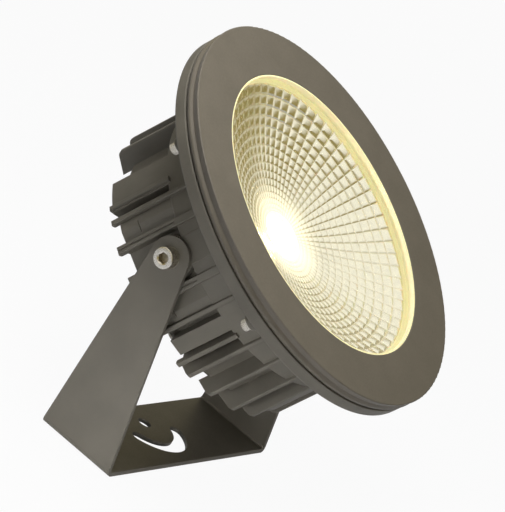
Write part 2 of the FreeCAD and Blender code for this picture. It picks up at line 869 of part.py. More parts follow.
def make_gland_seal():
    """Rubber bush that grips the cable."""
    front, back = seal_ends()
    return tube(seal_radius, seal_bore, front, back, *gland_place())


def make_gland_cap():
    """Cap nut with a tapered nose."""
    front = plateau_back + gland_washer_thickness + gland_hex_height
    back = front + cap_height
    place = gland_place()
    nose = turned([
        (0, front),
        (cap_hex, front),
        (cap_hex / math.sqrt(3), front + cap_height / 2),
        (cap_nose_radius, back),
        (0, back),
    ])
    nose.translate(Vector(place[0], place[1], 0))
    cap = hexagon(cap_hex, front, back, *place).common(nose)
    return cap.cut([
        rod(gland_sleeve_radius + cap_play, front - OVERRUN,
            front + gland_sleeve_height + cap_play, *place),
        rod(seal_radius + seal_play, front - OVERRUN, back - cap_roof, *place),
        rod(gland_bore, front - OVERRUN, back + OVERRUN, *place),
    ])


# ================================================================ driver, terminals, leads
def driver_screw_points():
    """Where the driver's screws stand."""
    middle = (driver_low + driver_high) / 2
    return [(side * (driver_half_length + driver_ear / 2), middle) for side in (1, -1)]


def make_driver_case():
    """LED driver in a folded can with an ear at each end."""
    case = block(-driver_half_length, driver_half_length, driver_low, driver_high,
                 bulkhead_back, bulkhead_back + driver_height)
    upright = [edge for edge in case.Edges
               if abs(edge.Vertexes[0].Z - edge.Vertexes[-1].Z) > driver_height / 2]
    case = case.makeFillet(driver_corner, upright)
    forms = [case]
    for x, y in driver_screw_points():
        inner, outer = sorted((math.copysign(driver_half_length - MERGE, x),
                               math.copysign(driver_half_length + driver_ear, x)))
        forms.append(block(inner, outer, y - driver_ear_width / 2, y + driver_ear_width / 2,
                           bulkhead_back, bulkhead_back + driver_ear_thickness))
    holes = [rod(rim_screw_radius + rim_hole_play, bulkhead_back - OVERRUN,
                 bulkhead_back + OVERRUN, x, y) for x, y in driver_screw_points()]
    return fused(forms).cut(holes)


def make_driver_screws():
    """Screws through the driver's ears."""
    seat = bulkhead_back + driver_ear_thickness
    return [socket_screw(rim_screw_radius, driver_screw_length, rim_head_radius,
                         driver_screw_head_height, rim_socket, seat, x, y)
            for x, y in driver_screw_points()]


def terminal_way_x(way):
    """Middle of one way of the terminal block."""
    pitch = terminal_length / terminal_ways
    return terminal_x + pitch * (way + 0.5)


def terminal_screw_points():
    """Where the terminal block is screwed down: between its ways."""
    pitch = terminal_length / terminal_ways
    middle = (terminal_low + terminal_high) / 2
    return [(terminal_x + pitch * k, middle) for k in range(1, terminal_ways)]


def make_terminal_block():
    """Three-way block with a wire mouth at each end of each way."""
    body = block(terminal_x, terminal_x + terminal_length, terminal_low, terminal_high,
                 bulkhead_back, bulkhead_back + terminal_height)
    level = bulkhead_back + lead_end_level
    cutters = []
    for way in range(terminal_ways):
        mouth = Part.makeCylinder(lead_radius * 2, terminal_high - terminal_low,
                                  Vector(terminal_way_x(way), terminal_low, -level),
                                  Vector(0, 1, 0))
        cutters.append(mouth)
    back = bulkhead_back + terminal_height
    for x, y in terminal_screw_points():
        cutters.append(rod(terminal_screw_radius + thread_play, bulkhead_back - OVERRUN,
                           back + OVERRUN, x, y))
        cutters.append(rod(terminal_screw_head + thread_play, back - terminal_screw_sink,
                           back + OVERRUN, x, y))
    return body.cut(cutters)


def make_terminal_screws():
    """Screws that hold the terminal block to the bulkhead."""
    seat = bulkhead_back + terminal_height - terminal_screw_sink
    return [fused([rod(terminal_screw_radius, bulkhead_back - terminal_bite, seat, x, y),
                   rod(terminal_screw_head, seat, seat + terminal_screw_head, x, y)])
            for x, y in terminal_screw_points()]


def swept_lead(points, bend):
    """Round lead along straight runs joined by tangent arcs."""
    edges = []
    start = points[0]
    for before, corner, after in zip(points, points[1:], points[2:]):
        arc_start, middle, arc_end = corner_arc(before, corner, after, bend)
        edges.append(Part.LineSegment(start, arc_start).toShape())
        edges.append(Part.Arc(arc_start, middle, arc_end).toShape())
        start = arc_end
    edges.append(Part.LineSegment(start, points[-1]).toShape())
    section = Part.Wire(Part.makeCircle(lead_radius, points[0], points[1] - points[0]))
    return Part.Wire(edges).makePipeShell([section], True, False)


def make_cob_leads():
    """Two leads from the driver, through the bulkhead, to the LED holder."""
    holder_level = bulkhead_front - lead_level
    driver_level = bulkhead_back + lead_end_level
    leads = []
    for side in (1, -1):
        x = side * lead_spacing / 2
        leads.append(swept_lead([
            Vector(x, -holder_radius, -holder_level),
            Vector(x, -lead_hole_offset, -holder_level),
            Vector(x, -lead_hole_offset, -driver_level),
            Vector(x, driver_low, -driver_level),
        ], lead_bend))
    return leads


def make_mains_leads():
    """Leads from the terminal block to the driver."""
    level = bulkhead_back + lead_end_level
    middle = (terminal_low + terminal_high) / 2
    return [Part.makeCylinder(lead_radius, driver_low - middle,
                              Vector(terminal_way_x(way), middle, -level), Vector(0, 1, 0))
            for way in range(terminal_ways)]


def make_lead_grommet():
    """Rubber bush of the leads in the bulkhead."""
    front = bulkhead_front - grommet_flange_thickness
    back = bulkhead_back + grommet_flange_thickness
    place = (0, -lead_hole_offset)
    forms = [
        rod(lead_hole_radius, front, back, *place),
        rod(grommet_flange, front, bulkhead_front, *place),
        rod(grommet_flange, bulkhead_back, back, *place),
    ]
    return fused(forms).cut(rod(grommet_bore, front - OVERRUN, back + OVERRUN, *place))


# ================================================================ pivot
def make_pivot_screws():
    """Socket-head screws through the arms into the housing's bosses."""
    screw = socket_screw(pivot_screw_radius, pivot_screw_length, pivot_head_radius,
                         pivot_head_height, pivot_socket, 0)
    screw.rotate(Vector(), Vector(0, 1, 0), -90)
    screw.translate(Vector(bracket_half_width, 0, -pivot_depth))
    return [screw, screw.mirror(Vector(), Vector(1, 0, 0))]


def make_pivot_washers():
    """Friction washers between the bosses and the arms."""
    washer = Part.makeCylinder(pivot_washer_radius, pivot_washer_thickness,
                               Vector(boss_face, 0, -pivot_depth), Vector(1, 0, 0))
    hole = Part.makeCylinder(pivot_screw_radius + thread_play, pivot_washer_thickness,
                             Vector(boss_face, 0, -pivot_depth), Vector(1, 0, 0))
    return both_sides(washer.cut(hole))


# ================================================================ bracket
def arm_outline():
    """Side view of the bracket: a round end at the pivot, tangent edges down to the base."""
    def touch_angle(foot, side):
        reach = math.hypot(foot, pivot_height)
        return math.atan2(-pivot_height, foot) + side * math.acos(arm_end_radius / reach)

    def on_end(angle):
        return side_view(pivot_offset + arm_end_radius * math.cos(angle),
                         pivot_height + arm_end_radius * math.sin(angle))

    back = touch_angle(base_back, 1)
    front = touch_angle(-base_front, -1) + 2 * math.pi
    front_foot = side_view(pivot_offset - base_front, 0)
    back_foot = side_view(pivot_offset + base_back, 0)
    edges = [
        Part.Arc(on_end(back), on_end((back + front) / 2), on_end(front)).toShape(),
        Part.LineSegment(on_end(front), front_foot).toShape(),
        Part.LineSegment(front_foot, back_foot).toShape(),
        Part.LineSegment(back_foot, on_end(back)).toShape(),
    ]
    return Part.Wire(edges)


def crescent_slot():
    """Slot that runs round the fixing hole, open towards the pivot side."""
    def arc_point(radius, angle):
        turn = math.radians(angle)
        return Vector(radius * math.sin(turn), -radius * math.cos(turn), 0)

    inner = slot_radius - slot_width / 2
    outer = slot_radius + slot_width / 2
    end = slot_half_angle
    tip = math.degrees(slot_width / 2 / slot_radius)
    edges = [
        Part.Arc(arc_point(outer, -end), arc_point(outer, 0), arc_point(outer, end)).toShape(),
        Part.Arc(arc_point(outer, end), arc_point(slot_radius, end + tip),
                 arc_point(inner, end)).toShape(),
        Part.Arc(arc_point(inner, end), arc_point(inner, 0), arc_point(inner, -end)).toShape(),
        Part.Arc(arc_point(inner, -end), arc_point(slot_radius, -end - tip),
                 arc_point(outer, -end)).toShape(),
    ]
    slot = Part.Face(Part.Wire(edges)).extrude(Vector(0, 0, sheet_thickness + 2 * OVERRUN))
    slot.translate(Vector(0, 0, -OVERRUN))
    return slot


def make_mounting_bracket():
    """U bracket bent from one sheet, with its arms cut to shape."""
    top = pivot_height + arm_end_radius + OVERRUN
    outer = bracket_half_width
    bend_outer = bend_radius + sheet_thickness
    channel = Part.Face(outline([
        (-outer, top),
        (-outer, 0, bend_outer),
        (outer, 0, bend_outer),
        (outer, top),
        (bracket_inner, top),
        (bracket_inner, sheet_thickness, bend_radius),
        (-bracket_inner, sheet_thickness, bend_radius),
        (-bracket_inner, top),
    ], front_view))
    front = pivot_offset - base_front - OVERRUN
    back = pivot_offset + base_back + OVERRUN
    channel = channel.extrude(Vector(0, back - front, 0))
    channel.translate(Vector(0, front, 0))
    profile = Part.Face(arm_outline()).extrude(Vector(2 * outer, 0, 0))
    profile.translate(Vector(-outer, 0, 0))
    pivot_hole = Part.makeCylinder(pivot_screw_radius + pivot_running_gap, 2 * (outer + OVERRUN),
                                   Vector(-outer - OVERRUN, pivot_offset, pivot_height),
                                   Vector(1, 0, 0))
    fixing_hole = Part.makeCylinder(fixing_hole_radius, sheet_thickness + 2 * OVERRUN,
                                    Vector(0, 0, -OVERRUN))
    return channel.common(profile).cut([pivot_hole, fixing_hole, crescent_slot()])


# ================================================================ assembly
def place_head(shape):
    """Tilt a piece of the lamp head and set it on the pivot."""
    placed = shape.copy()
    placed.translate(Vector(0, 0, pivot_depth))
    placed.rotate(Vector(), Vector(1, 0, 0), 90 - beam_elevation)
    placed.translate(Vector(0, pivot_offset, pivot_height))
    return placed


HEAD_PIECES = {
    "front_bezel": make_front_bezel,
    "glass_gasket": make_glass_gasket,
    "front_glass": make_front_glass,
    "bezel_gasket": make_bezel_gasket,
    "reflector": make_reflector,
    "reflector_cushion": make_reflector_cushion,
    "thermal_pad": make_thermal_pad,
    "cob_board": make_cob_board,
    "cob_phosphor": make_cob_phosphor,
    "cob_holder": make_cob_holder,
    "cob_holder_screws": make_cob_holder_screws,
    "cob_leads": make_cob_leads,
    "lead_grommet": make_lead_grommet,
    "housing": make_housing,
    "driver_case": make_driver_case,
    "driver_screws": make_driver_screws,
    "terminal_block": make_terminal_block,
    "terminal_screws": make_terminal_screws,
    "mains_leads": make_mains_leads,
    "bezel_screws": make_bezel_screws,
    "bezel_washers": make_bezel_washers,
    "rear_cover": make_rear_cover,
    "rear_gasket": make_rear_gasket,
    "rear_cover_screws": make_rear_cover_screws,
    "gland_washer": make_gland_washer,
    "gland_body": make_gland_body,
    "gland_locknut": make_gland_locknut,
    "gland_seal": make_gland_seal,
    "gland_cap": make_gland_cap,
    "pivot_screws": make_pivot_screws,
    "pivot_washers": make_pivot_washers,
}


def export(node, made):
    """Write one node, which is one solid or a group of separate solids."""
    solids = [solid for shape in made for solid in shape.Solids]
    for solid in solids:
        if not solid.isValid() or solid.Volume <= 0:
            raise ValueError(f"{node} has a bad solid")
    shape = solids[0] if len(solids) == 1 else Part.makeCompound(solids)
    shape.exportStep(os.path.join("parts", node + ".step"))
    print(f"{node}: {len(solids)} solid(s), {shape.Volume / 1000:.1f} cm3")


def main():
    """Build and write every node."""
    os.makedirs("parts", exist_ok=True)
    export("mounting_bracket", [make_mounting_bracket()])
    for node, make in HEAD_PIECES.items():
        made = make()
        shapes = made if isinstance(made, list) else [made]
        export(node, [place_head(shape) for shape in shapes])


main()
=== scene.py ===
"""Round LED floodlight in a bent-sheet bracket: finishes, reflector, screws and studio."""

import json
import logging
import math
from contextlib import contextmanager
from dataclasses import dataclass, replace
from enum import Enum
from typing import Callable, Iterator, Sequence
import bmesh
import bpy
from mathutils import Matrix, Vector

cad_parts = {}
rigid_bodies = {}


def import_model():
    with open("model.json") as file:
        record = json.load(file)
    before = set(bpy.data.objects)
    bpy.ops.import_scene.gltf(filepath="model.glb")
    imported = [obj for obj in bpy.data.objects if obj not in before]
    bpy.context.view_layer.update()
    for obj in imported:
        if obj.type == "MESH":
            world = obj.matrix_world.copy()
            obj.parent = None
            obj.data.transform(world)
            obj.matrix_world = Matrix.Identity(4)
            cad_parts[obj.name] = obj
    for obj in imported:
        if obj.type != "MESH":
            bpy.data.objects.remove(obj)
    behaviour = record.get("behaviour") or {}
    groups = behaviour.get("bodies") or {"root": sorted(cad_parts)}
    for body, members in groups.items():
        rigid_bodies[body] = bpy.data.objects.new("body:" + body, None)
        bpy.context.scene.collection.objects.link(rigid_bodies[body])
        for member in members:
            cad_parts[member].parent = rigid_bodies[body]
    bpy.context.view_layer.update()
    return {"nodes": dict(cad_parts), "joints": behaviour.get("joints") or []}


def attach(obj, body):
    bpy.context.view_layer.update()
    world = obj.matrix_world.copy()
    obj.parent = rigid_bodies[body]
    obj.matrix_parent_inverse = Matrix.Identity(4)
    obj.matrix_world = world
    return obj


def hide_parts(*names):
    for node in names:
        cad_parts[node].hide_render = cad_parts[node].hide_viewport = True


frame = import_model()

log = logging.getLogger("floodlight")

MM = 0.001
SLIVER = 0.01 * MM                 # less than any feature, more than rounding errors
BEAM = (0.0, -0.5045, 0.8634)      # direction of the light at rest
WHITE = (1.0, 1.0, 1.0)
LED_LIGHT = (1.0, 0.84, 0.52)
FACING_UP = 0.9                    # least Z of the normal of a face that looks up
UPRIGHT = 0.05                     # most Z of the normal of a face that stands upright
HEXAGON = 6
BEVEL_SAMPLES = 6
FLAT_AGREEMENT = 0.995             # rounded and true normal agree this much on the flat
EDGE_AGREEMENT = 0.86              # and this much on an edge
WHOLE_SHARE = 0.35                 # a fading light is whole up to this share of its reach

Colour = tuple[float, float, float]
Piece = bpy.types.Object
Material = bpy.types.Material
Socket = bpy.types.NodeSocket


class Body(Enum):
    """The two rigid bodies of the lamp."""

    BRACKET = "bracket"
    HEAD = "lamp_head"


class Lathe(Enum):
    """Axis that a metal piece was turned about."""

    ROUND_X = (1.0, 0.0, 0.0)
    ROUND_BEAM = BEAM


class Element(Enum):
    """What is selected in edit mode."""

    EDGE = "EDGE"
    FACE = "FACE"


class Aim(Enum):
    """What a light is turned to."""

    MIDDLE = (0.0, 0.0, 0.12)
    FOOT = (-0.06, -0.04, 0.015)


class MixSocket(int, Enum):
    """Sockets of a Mix node that mixes colours."""

    SHARE = 0
    FIRST = 6
    SECOND = 7
    RESULT = 2


# ---- modelling helpers


def deselect_all() -> None:
    """Leaves edit mode and clears the selection."""
    if bpy.context.object and bpy.context.object.mode != "OBJECT":
        bpy.ops.object.mode_set(mode="OBJECT")
    for thing in bpy.context.view_layer.objects:
        thing.select_set(False)


def activate(piece: Piece) -> None:
    """Makes a piece the only selected and the active object.

    Args:
        piece: the piece.
    """
    deselect_all()
    piece.select_set(True)
    bpy.context.view_layer.objects.active = piece


@contextmanager
def editing(piece: Piece) -> Iterator[None]:
    """Edit mode on one piece, with nothing selected at the start.

    Args:
        piece: the piece that is edited.
    """
    activate(piece)
    bpy.ops.object.mode_set(mode="EDIT")
    bpy.ops.mesh.select_all(action="DESELECT")
    yield
    bpy.ops.object.mode_set(mode="OBJECT")


def pick(element: Element, test: Callable[[Vector, Vector], bool]) -> None:
    """Selects faces or edges of the edited mesh by place and normal.

    Args:
        element: what is selected.
        test: called with a face's middle and normal, or with the place and normal of
            each end of an edge, and true to select it.
    """
    bpy.ops.mesh.select_mode(type=element.value)
    bpy.ops.mesh.select_all(action="DESELECT")
    mesh = bpy.context.edit_object.data
    form = bmesh.from_edit_mesh(mesh)
    form.normal_update()
    if element is Element.FACE:
        for face in form.faces:
            if test(face.calc_center_median(), face.normal):
                face.select_set(True)
    else:
        for edge in form.edges:
            if all(test(end.co, end.normal) for end in edge.verts):
                edge.select_set(True)
    form.select_flush_mode()
    bmesh.update_edit_mesh(mesh)


def settle(piece: Piece, place: Matrix) -> Piece:
    """Moves a piece to its place and writes the place into its mesh.

    Args:
        piece: the piece.
        place: where it goes.

    Returns:
        The same piece.
    """
    activate(piece)
    piece.matrix_world = place
    bpy.ops.object.transform_apply(location=True, rotation=True, scale=True)
    return piece


def use_modifier(piece: Piece, kind: str, **settings: object) -> None:
    """Adds a modifier with its settings and applies it.

    Args:
        piece: the piece.
        kind: the modifier's type.
        settings: attributes of the modifier.
    """
    activate(piece)
    modifier = piece.modifiers.new(kind.title(), kind)
    for name, value in settings.items():
        setattr(modifier, name, value)
    bpy.ops.object.modifier_apply(modifier=modifier.name)


def rename(piece: Piece, name: str) -> Piece:
    """Gives a piece and its mesh their name.

    Args:
        piece: the piece.
        name: the name of both.

    Returns:
        The same piece.
    """
    piece.name = name
    piece.data.name = name
    return piece


def joined(pieces: Sequence[Piece], name: str) -> Piece:
    """Joins pieces into one object.

    Args:
        pieces: two pieces or more.
        name: the name of the whole.

    Returns:
        The joined piece.
    """
    deselect_all()
    for piece in pieces:
        piece.select_set(True)
    bpy.context.view_layer.objects.active = pieces[0]
    bpy.ops.object.join()
    return rename(bpy.context.view_layer.objects.active, name)


def cylinder(sides: int, radius: float, height: float, middle: float) -> Piece:
    """Adds an upright cylinder on the Z axis.

    Args:
        sides: number of its sides.
        radius: its radius.
        height: its height.
        middle: height of its middle.

    Returns:
        The cylinder, selected and active.
    """
    deselect_all()
    bpy.ops.mesh.primitive_cylinder_add(vertices=sides, radius=radius, depth=height,
                                        location=(0.0, 0.0, middle))
    piece = bpy.context.object
    return settle(piece, piece.matrix_world.copy())


def two_tone(piece: Piece, first: Material, second: Material,
             test: Callable[[bpy.types.MeshPolygon], bool]) -> None:
    """Dresses a piece in two finishes.

    Args:
        piece: the piece.
        first: the finish of most faces.
        second: the finish of the faces that pass the test.
        test: called with each face.
    """
    piece.data.materials.clear()
    piece.data.materials.append(first)
    piece.data.materials.append(second)
    for face in piece.data.polygons:
        face.material_index = int(test(face))


# ---- finishes


class Nodes:
    """A node tree that is filled node by node."""

    def __init__(self, owner: Material | bpy.types.World) -> None:
        """Takes the owner's tree and empties it.

        Args:
            owner: a new material or world.
        """
        owner.use_nodes = True
        self.tree = owner.node_tree
        self.tree.nodes.clear()

    def node(self, kind: str, inputs: dict[str | int, object] | None = None,
             **settings: object) -> bpy.types.Node:
        """Adds a node.

        Args:
            kind: the node's type.
            inputs: value or link for each named or numbered input.
            settings: attributes of the node itself.

        Returns:
            The new node.
        """
        node = self.tree.nodes.new(kind)
        for name, value in settings.items():
            setattr(node, name, value)
        for name, value in (inputs or {}).items():
            if isinstance(value, Socket):
                self.tree.links.new(value, node.inputs[name])
            else:
                node.inputs[name].default_value = value
        return node

    def spread(self, value: Socket, low: float, high: float,
               start: float = 0.3, stop: float = 0.7, **settings: object) -> Socket:
        """Maps a value to a range, and holds it there.

        Args:
            value: the value.
            low: result where the value is start.
            high: result where the value is stop.
            start: where the range begins.
            stop: where the range ends.
            settings: attributes of the node.

        Returns:
            The mapped value.
        """
        return self.node("ShaderNodeMapRange", {
            "Value": value, "From Min": start, "From Max": stop,
            "To Min": low, "To Max": high}, **settings).outputs[0]

    def tint(self, share: Socket, first: Colour | Socket, second: Colour | Socket) -> Socket:
        """Colour between two colours.

        Args:
            share: 0 for the first colour, 1 for the second.
            first: a colour, or a link to one.
            second: a colour, or a link to one.

        Returns:
            The mixed colour.
        """
        ends = [end if isinstance(end, Socket) else (*end, 1.0)
                for end in (first, second)]
        return self.node("ShaderNodeMix", {
            MixSocket.SHARE: share, MixSocket.FIRST: ends[0], MixSocket.SECOND: ends[1]},
            data_type="RGBA").outputs[MixSocket.RESULT]

    def times(self, first: Socket, second: float | Socket) -> Socket:
        """Product of two values."""
        return self.node("ShaderNodeMath", {0: first, 1: second}, operation="MULTIPLY").outputs[0]

    def larger(self, first: Socket, second: Socket) -> Socket:
        """The larger of two values."""
        return self.node("ShaderNodeMath", {0: first, 1: second}, operation="MAXIMUM").outputs[0]


class Recipe(Nodes):
    """Node tree of one material."""

    def __init__(self, name: str) -> None:
        """Starts a material with the object's own coordinates.

        Args:
            name: the material's name.
        """
        self.material = bpy.data.materials.new(name)
        super().__init__(self.material)
        self.place = self.node("ShaderNodeTexCoord").outputs["Object"]

    def noise(self, grain: float, detail: float = 2.0,
              stretch: tuple[float, ...] = (1.0, 1.0, 1.0)) -> Socket:
        """Noise in the object's own coordinates.

        Args:
            grain: width of its lumps in metres.
            detail: how much finer noise lies over them.
            stretch: scale along each axis; a smaller one draws the lumps out.

        Returns:
            The noise, from 0 to 1.
        """
        mapped = self.node("ShaderNodeMapping", {"Vector": self.place, "Scale": stretch})
        texture = self.node("ShaderNodeTexNoise", {
            "Vector": mapped.outputs[0], "Scale": 1.0 / grain, "Detail": detail})
        return texture.outputs["Fac"]

    def cloudy(self, colour: Colour, size: float, dark: float, light: float) -> Socket:
        """Colour that varies in soft clouds.

        Args:
            colour: the plain colour.
            size: width of the clouds in metres.
            dark: what the colour is multiplied by where it is darkest.
            light: what it is multiplied by where it is lightest.

        Returns:
            The clouded colour.
        """
        clouds = self.spread(self.noise(size, detail=3.0), 0.0, 1.0)
        return self.tint(clouds, shade(colour, dark), shade(colour, light))

    def bump(self, height: Socket, depth: float, strength: float,
             under: Socket | None = None) -> Socket:
        """Normal with a relief.

        Args:
            height: the relief, from 0 to 1.
            depth: its depth in metres.
            strength: how much of it shows.
            under: the normal that it is laid on.

        Returns:
            The new normal.
        """
        inputs = {"Height": height, "Distance": depth, "Strength": strength}
        if under is not None:
            inputs["Normal"] = under
        return self.node("ShaderNodeBump", inputs).outputs[0]

    def rounded(self, radius: float) -> Socket:
        """Normal that rounds the edges."""
        return self.node("ShaderNodeBevel", {"Radius": radius}, samples=BEVEL_SAMPLES).outputs[0]

    def edge_share(self, radius: float) -> Socket:
        """How near a place is to an edge.

        Args:
            radius: how far an edge reaches, in metres.

        Returns:
            0 on the flat, up to 1 on the edge.
        """
        true_normal = self.node("ShaderNodeNewGeometry").outputs["True Normal"]
        agreement = self.node("ShaderNodeVectorMath", {0: self.rounded(radius), 1: true_normal},
                              operation="DOT_PRODUCT").outputs["Value"]
        return self.spread(agreement, 0.0, 1.0, FLAT_AGREEMENT, EDGE_AGREEMENT)

    def fading(self, start: Vector, reach: float, level: float) -> Socket:
        """A level near one point that fades to nothing at a distance from it.

        Args:
            start: the point, in the object's own coordinates.
            reach: where the level ends, in metres.
            level: the value at the point.

        Returns:
            The faded level.
        """
        away = self.node("ShaderNodeVectorMath", {0: self.place, 1: start},
                         operation="DISTANCE").outputs["Value"]
        near = self.spread(away, 0.0, 1.0, reach, reach * WHOLE_SHARE,
                           interpolation_type="SMOOTHSTEP")
        return self.times(near, level)

    def finish(self, **inputs: object) -> Material:
        """Ends the recipe with one Principled shader.

        Args:
            inputs: value or link for each of its inputs, named in small letters.

        Returns:
            The finished material.
        """
        shader = self.node("ShaderNodeBsdfPrincipled", {
            name.replace("_", " ").title(): value for name, value in inputs.items()})
        return self.surface(shader)

    def surface(self, shader: bpy.types.Node) -> Material:
        """Ends the recipe with a shader, and returns the finished material."""
        self.node("ShaderNodeOutputMaterial", {"Surface": shader.outputs[0]})
        return self.material


def shade(colour: Colour, factor: float) -> Colour:
    """A darker or lighter version of a colour."""
    return tuple(min(channel * factor, 1.0) for channel in colour)


@dataclass(frozen=True)
class PowderCoat:
    """Satin powder coat: fine orange peel, faint cloudiness and specks, and a painted highlight on
    the edges.
    """

    name: str
    colour: Colour
    roughness: float = 0.46
    roughness_swing: float = 0.05
    roughness_grain: float = 1.4 * MM
    peel: float = 0.55 * MM
    peel_depth: float = 0.02 * MM
    peel_strength: float = 0.8
    edge_radius: float = 0.5 * MM
    # how much lighter the painted edge highlight makes the colour
    edge_light: float = 1.5
    edge_highlight_share: float = 0.6
    cloud: float = 0.08
    cloud_size: float = 22 * MM
    speck_size: float = 0.3 * MM
    speck_range: tuple[float, float] = (0.35, 0.75)
    speck_share: float = 0.22
    speck_shade: float = 0.72

    def material(self) -> Material:
        """Builds the material.

        Returns:
            The finished material.
        """
        recipe = Recipe(self.name)
        body = recipe.cloudy(self.colour, self.cloud_size, 1 - self.cloud, 1 + self.cloud)
        speck = recipe.spread(recipe.noise(self.speck_size, detail=1.0), 0.0, self.speck_share,
                              *self.speck_range)
        body = recipe.tint(speck, body, shade(self.colour, self.speck_shade))
        # painted highlight: the colour is lighter near edges, where light would catch them
        edge_highlight = recipe.times(recipe.edge_share(self.edge_radius), self.edge_highlight_share)
        body = recipe.tint(edge_highlight, body, shade(self.colour, self.edge_light))
        gloss = recipe.spread(recipe.noise(self.roughness_grain),
                              self.roughness - self.roughness_swing,
                              self.roughness + self.roughness_swing)
        normal = recipe.bump(recipe.noise(self.peel), self.peel_depth, self.peel_strength,
                             recipe.rounded(self.edge_radius))
        return recipe.finish(base_color=body, roughness=gloss, normal=normal)


@dataclass(frozen=True)
class TurnedMetal:
    """Bare or plated metal with the fine marks of turning or drawing."""

    name: str
    colour: Colour
    roughness: float = 0.26
    smoother: float = 0.08
    rougher: float = 0.1
    marks: float = 0.12 * MM
    turned_about: Lathe = Lathe.ROUND_X
    mark_stretch: float = 0.25
    mark_depth: float = 0.004 * MM
    mark_strength: float = 0.7
    stain: float = 0.12
    stain_size: float = 1.8 * MM
    edge_radius: float = 0.15 * MM

    def material(self) -> Material:
        """Builds the material, its marks drawn out across the axis of turning.

        Returns:
            The finished material.
        """
        recipe = Recipe(self.name)
        main_part = max(map(abs, self.turned_about.value)) / 2
        stretch = tuple(1.0 if abs(part) > main_part else self.mark_stretch
                        for part in self.turned_about.value)
        marks = recipe.noise(self.marks, detail=3.0, stretch=stretch)
        body = recipe.cloudy(self.colour, self.stain_size, 1 - self.stain, 1.0)
        gloss = recipe.spread(marks, self.roughness - self.smoother,
                              self.roughness + self.rougher)
        normal = recipe.bump(marks, self.mark_depth, self.mark_strength,
                             recipe.rounded(self.edge_radius))
        return recipe.finish(base_color=body, metallic=1.0, roughness=gloss, normal=normal)


@dataclass(frozen=True)
class FacetMirror:
    """Vapour-coated aluminium: bright, with a faint haze that varies from facet to facet, and a
    painted glow of the LED's light near the LED.
    """

    name: str
    lamp: Vector
    colour: Colour = (0.93, 0.885, 0.79)
    roughness: float = 0.15
    smoother: float = 0.03
    rougher: float = 0.04
    haze_size: float = 5 * MM
    haze_shade: float = 0.93
    painted_glow_colour: Colour = (1.0, 0.88, 0.6)
    painted_glow_level: float = 0.8
    painted_glow_reach: float = 38 * MM
    ripple: float = 0.9 * MM
    ripple_depth: float = 0.004 * MM
    ripple_strength: float = 0.6

    def material(self) -> Material:
        """Builds the material.

        Returns:
            The finished material.
        """
        recipe = Recipe(self.name)
        haze = recipe.noise(self.haze_size)
        body = recipe.tint(recipe.spread(haze, 0.0, 1.0), shade(self.colour, self.haze_shade),
                           self.colour)
        gloss = recipe.spread(haze, self.roughness - self.smoother,
                              self.roughness + self.rougher)
        normal = recipe.bump(recipe.noise(self.ripple), self.ripple_depth, self.ripple_strength)
        return recipe.finish(base_color=body, metallic=1.0, roughness=gloss, normal=normal,
                             # painted glow: the LED's light painted onto the mirror, fading with
                             # distance from the LED
                             emission_color=(*self.painted_glow_colour, 1.0),
                             emission_strength=recipe.fading(self.lamp, self.painted_glow_reach,
                                                             self.painted_glow_level))


@dataclass(frozen=True)
class Moulded:
    """Moulded or cast material that is not metal: plastic, silicone, ceramic."""

    name: str
    colour: Colour
    roughness: float = 0.5
    roughness_swing: float = 0.06
    grain: float = 0.35 * MM
    grain_depth: float = 0.01 * MM
    grain_strength: float = 0.7
    edge_radius: float = 0.2 * MM
    cloud: float = 0.06
    cloud_size: float = 6 * MM
    sheen: float = 0.0
    # a moulding beside the LED gets a painted glow of its light
    lamp: Vector | None = None
    lamp_light: Colour = LED_LIGHT
    lamp_level: float = 1.6
    lamp_reach: float = 24 * MM

    def material(self) -> Material:
        """Builds the material.

        Returns:
            The finished material.
        """
        recipe = Recipe(self.name)
        body = recipe.cloudy(self.colour, self.cloud_size, 1 - self.cloud, 1 + self.cloud)
        grain = recipe.noise(self.grain)
        gloss = recipe.spread(grain, self.roughness - self.roughness_swing,
                              self.roughness + self.roughness_swing)
        normal = recipe.bump(grain, self.grain_depth, self.grain_strength,
                             recipe.rounded(self.edge_radius))
        return recipe.finish(base_color=body, roughness=gloss, normal=normal,
                             sheen_weight=self.sheen, **self.painted_lamp_glow(recipe))

    def painted_lamp_glow(self, recipe: Recipe) -> dict[str, object]:
        """Painted glow of the LED's light on a moulding beside the LED.

        Args:
            recipe: the moulding's recipe.

        Returns:
            Inputs for the shader, none for a moulding without a lamp.
        """
        if self.lamp is None:
            return {}
        return {"emission_color": (*self.lamp_light, 1.0),
                "emission_strength": recipe.fading(self.lamp, self.lamp_reach, self.lamp_level)}


@dataclass(frozen=True)
class PaintedGlowSilicone:
    """Clear silicone with a painted glow of the LED's light, strongest where its faces look along
    the beam.
    """

    name: str
    colour: Colour
    front: Vector
    glow: Colour = (0.32, 0.27, 0.14)
    front_glow: Colour = (0.76, 0.7, 0.32)
    front_range: tuple[float, float] = (0.5, 0.9)
    cloud_dark: float = 0.94
    cloud_light: float = 1.05
    cloud_size: float = 7 * MM
    roughness: float = 0.4
    grain: float = 0.6 * MM
    grain_depth: float = 0.01 * MM
    grain_strength: float = 0.6
    edge_radius: float = 0.15 * MM
    cloudiness: float = 0.3

    def material(self) -> Material:
        """Builds the material.

        Returns:
            The finished material.
        """
        recipe = Recipe(self.name)
        body = recipe.cloudy(self.colour, self.cloud_size, self.cloud_dark, self.cloud_light)
        facing = recipe.node("ShaderNodeTexCoord").outputs["Normal"]
        agreement = recipe.node("ShaderNodeVectorMath", {0: facing, 1: self.front},
                                operation="DOT_PRODUCT").outputs["Value"]
        glow_share = recipe.spread(agreement, 0.0, 1.0, *self.front_range)
        # painted glow: brighter on faces that look along the beam
        glow = recipe.tint(glow_share, self.glow, self.front_glow)
        normal = recipe.bump(recipe.noise(self.grain), self.grain_depth, self.grain_strength,
                             recipe.rounded(self.edge_radius))
        return recipe.finish(base_color=body, roughness=self.roughness, normal=normal,
                             subsurface_weight=self.cloudiness, subsurface_scale=MM,
                             emission_color=glow, emission_strength=1.0)


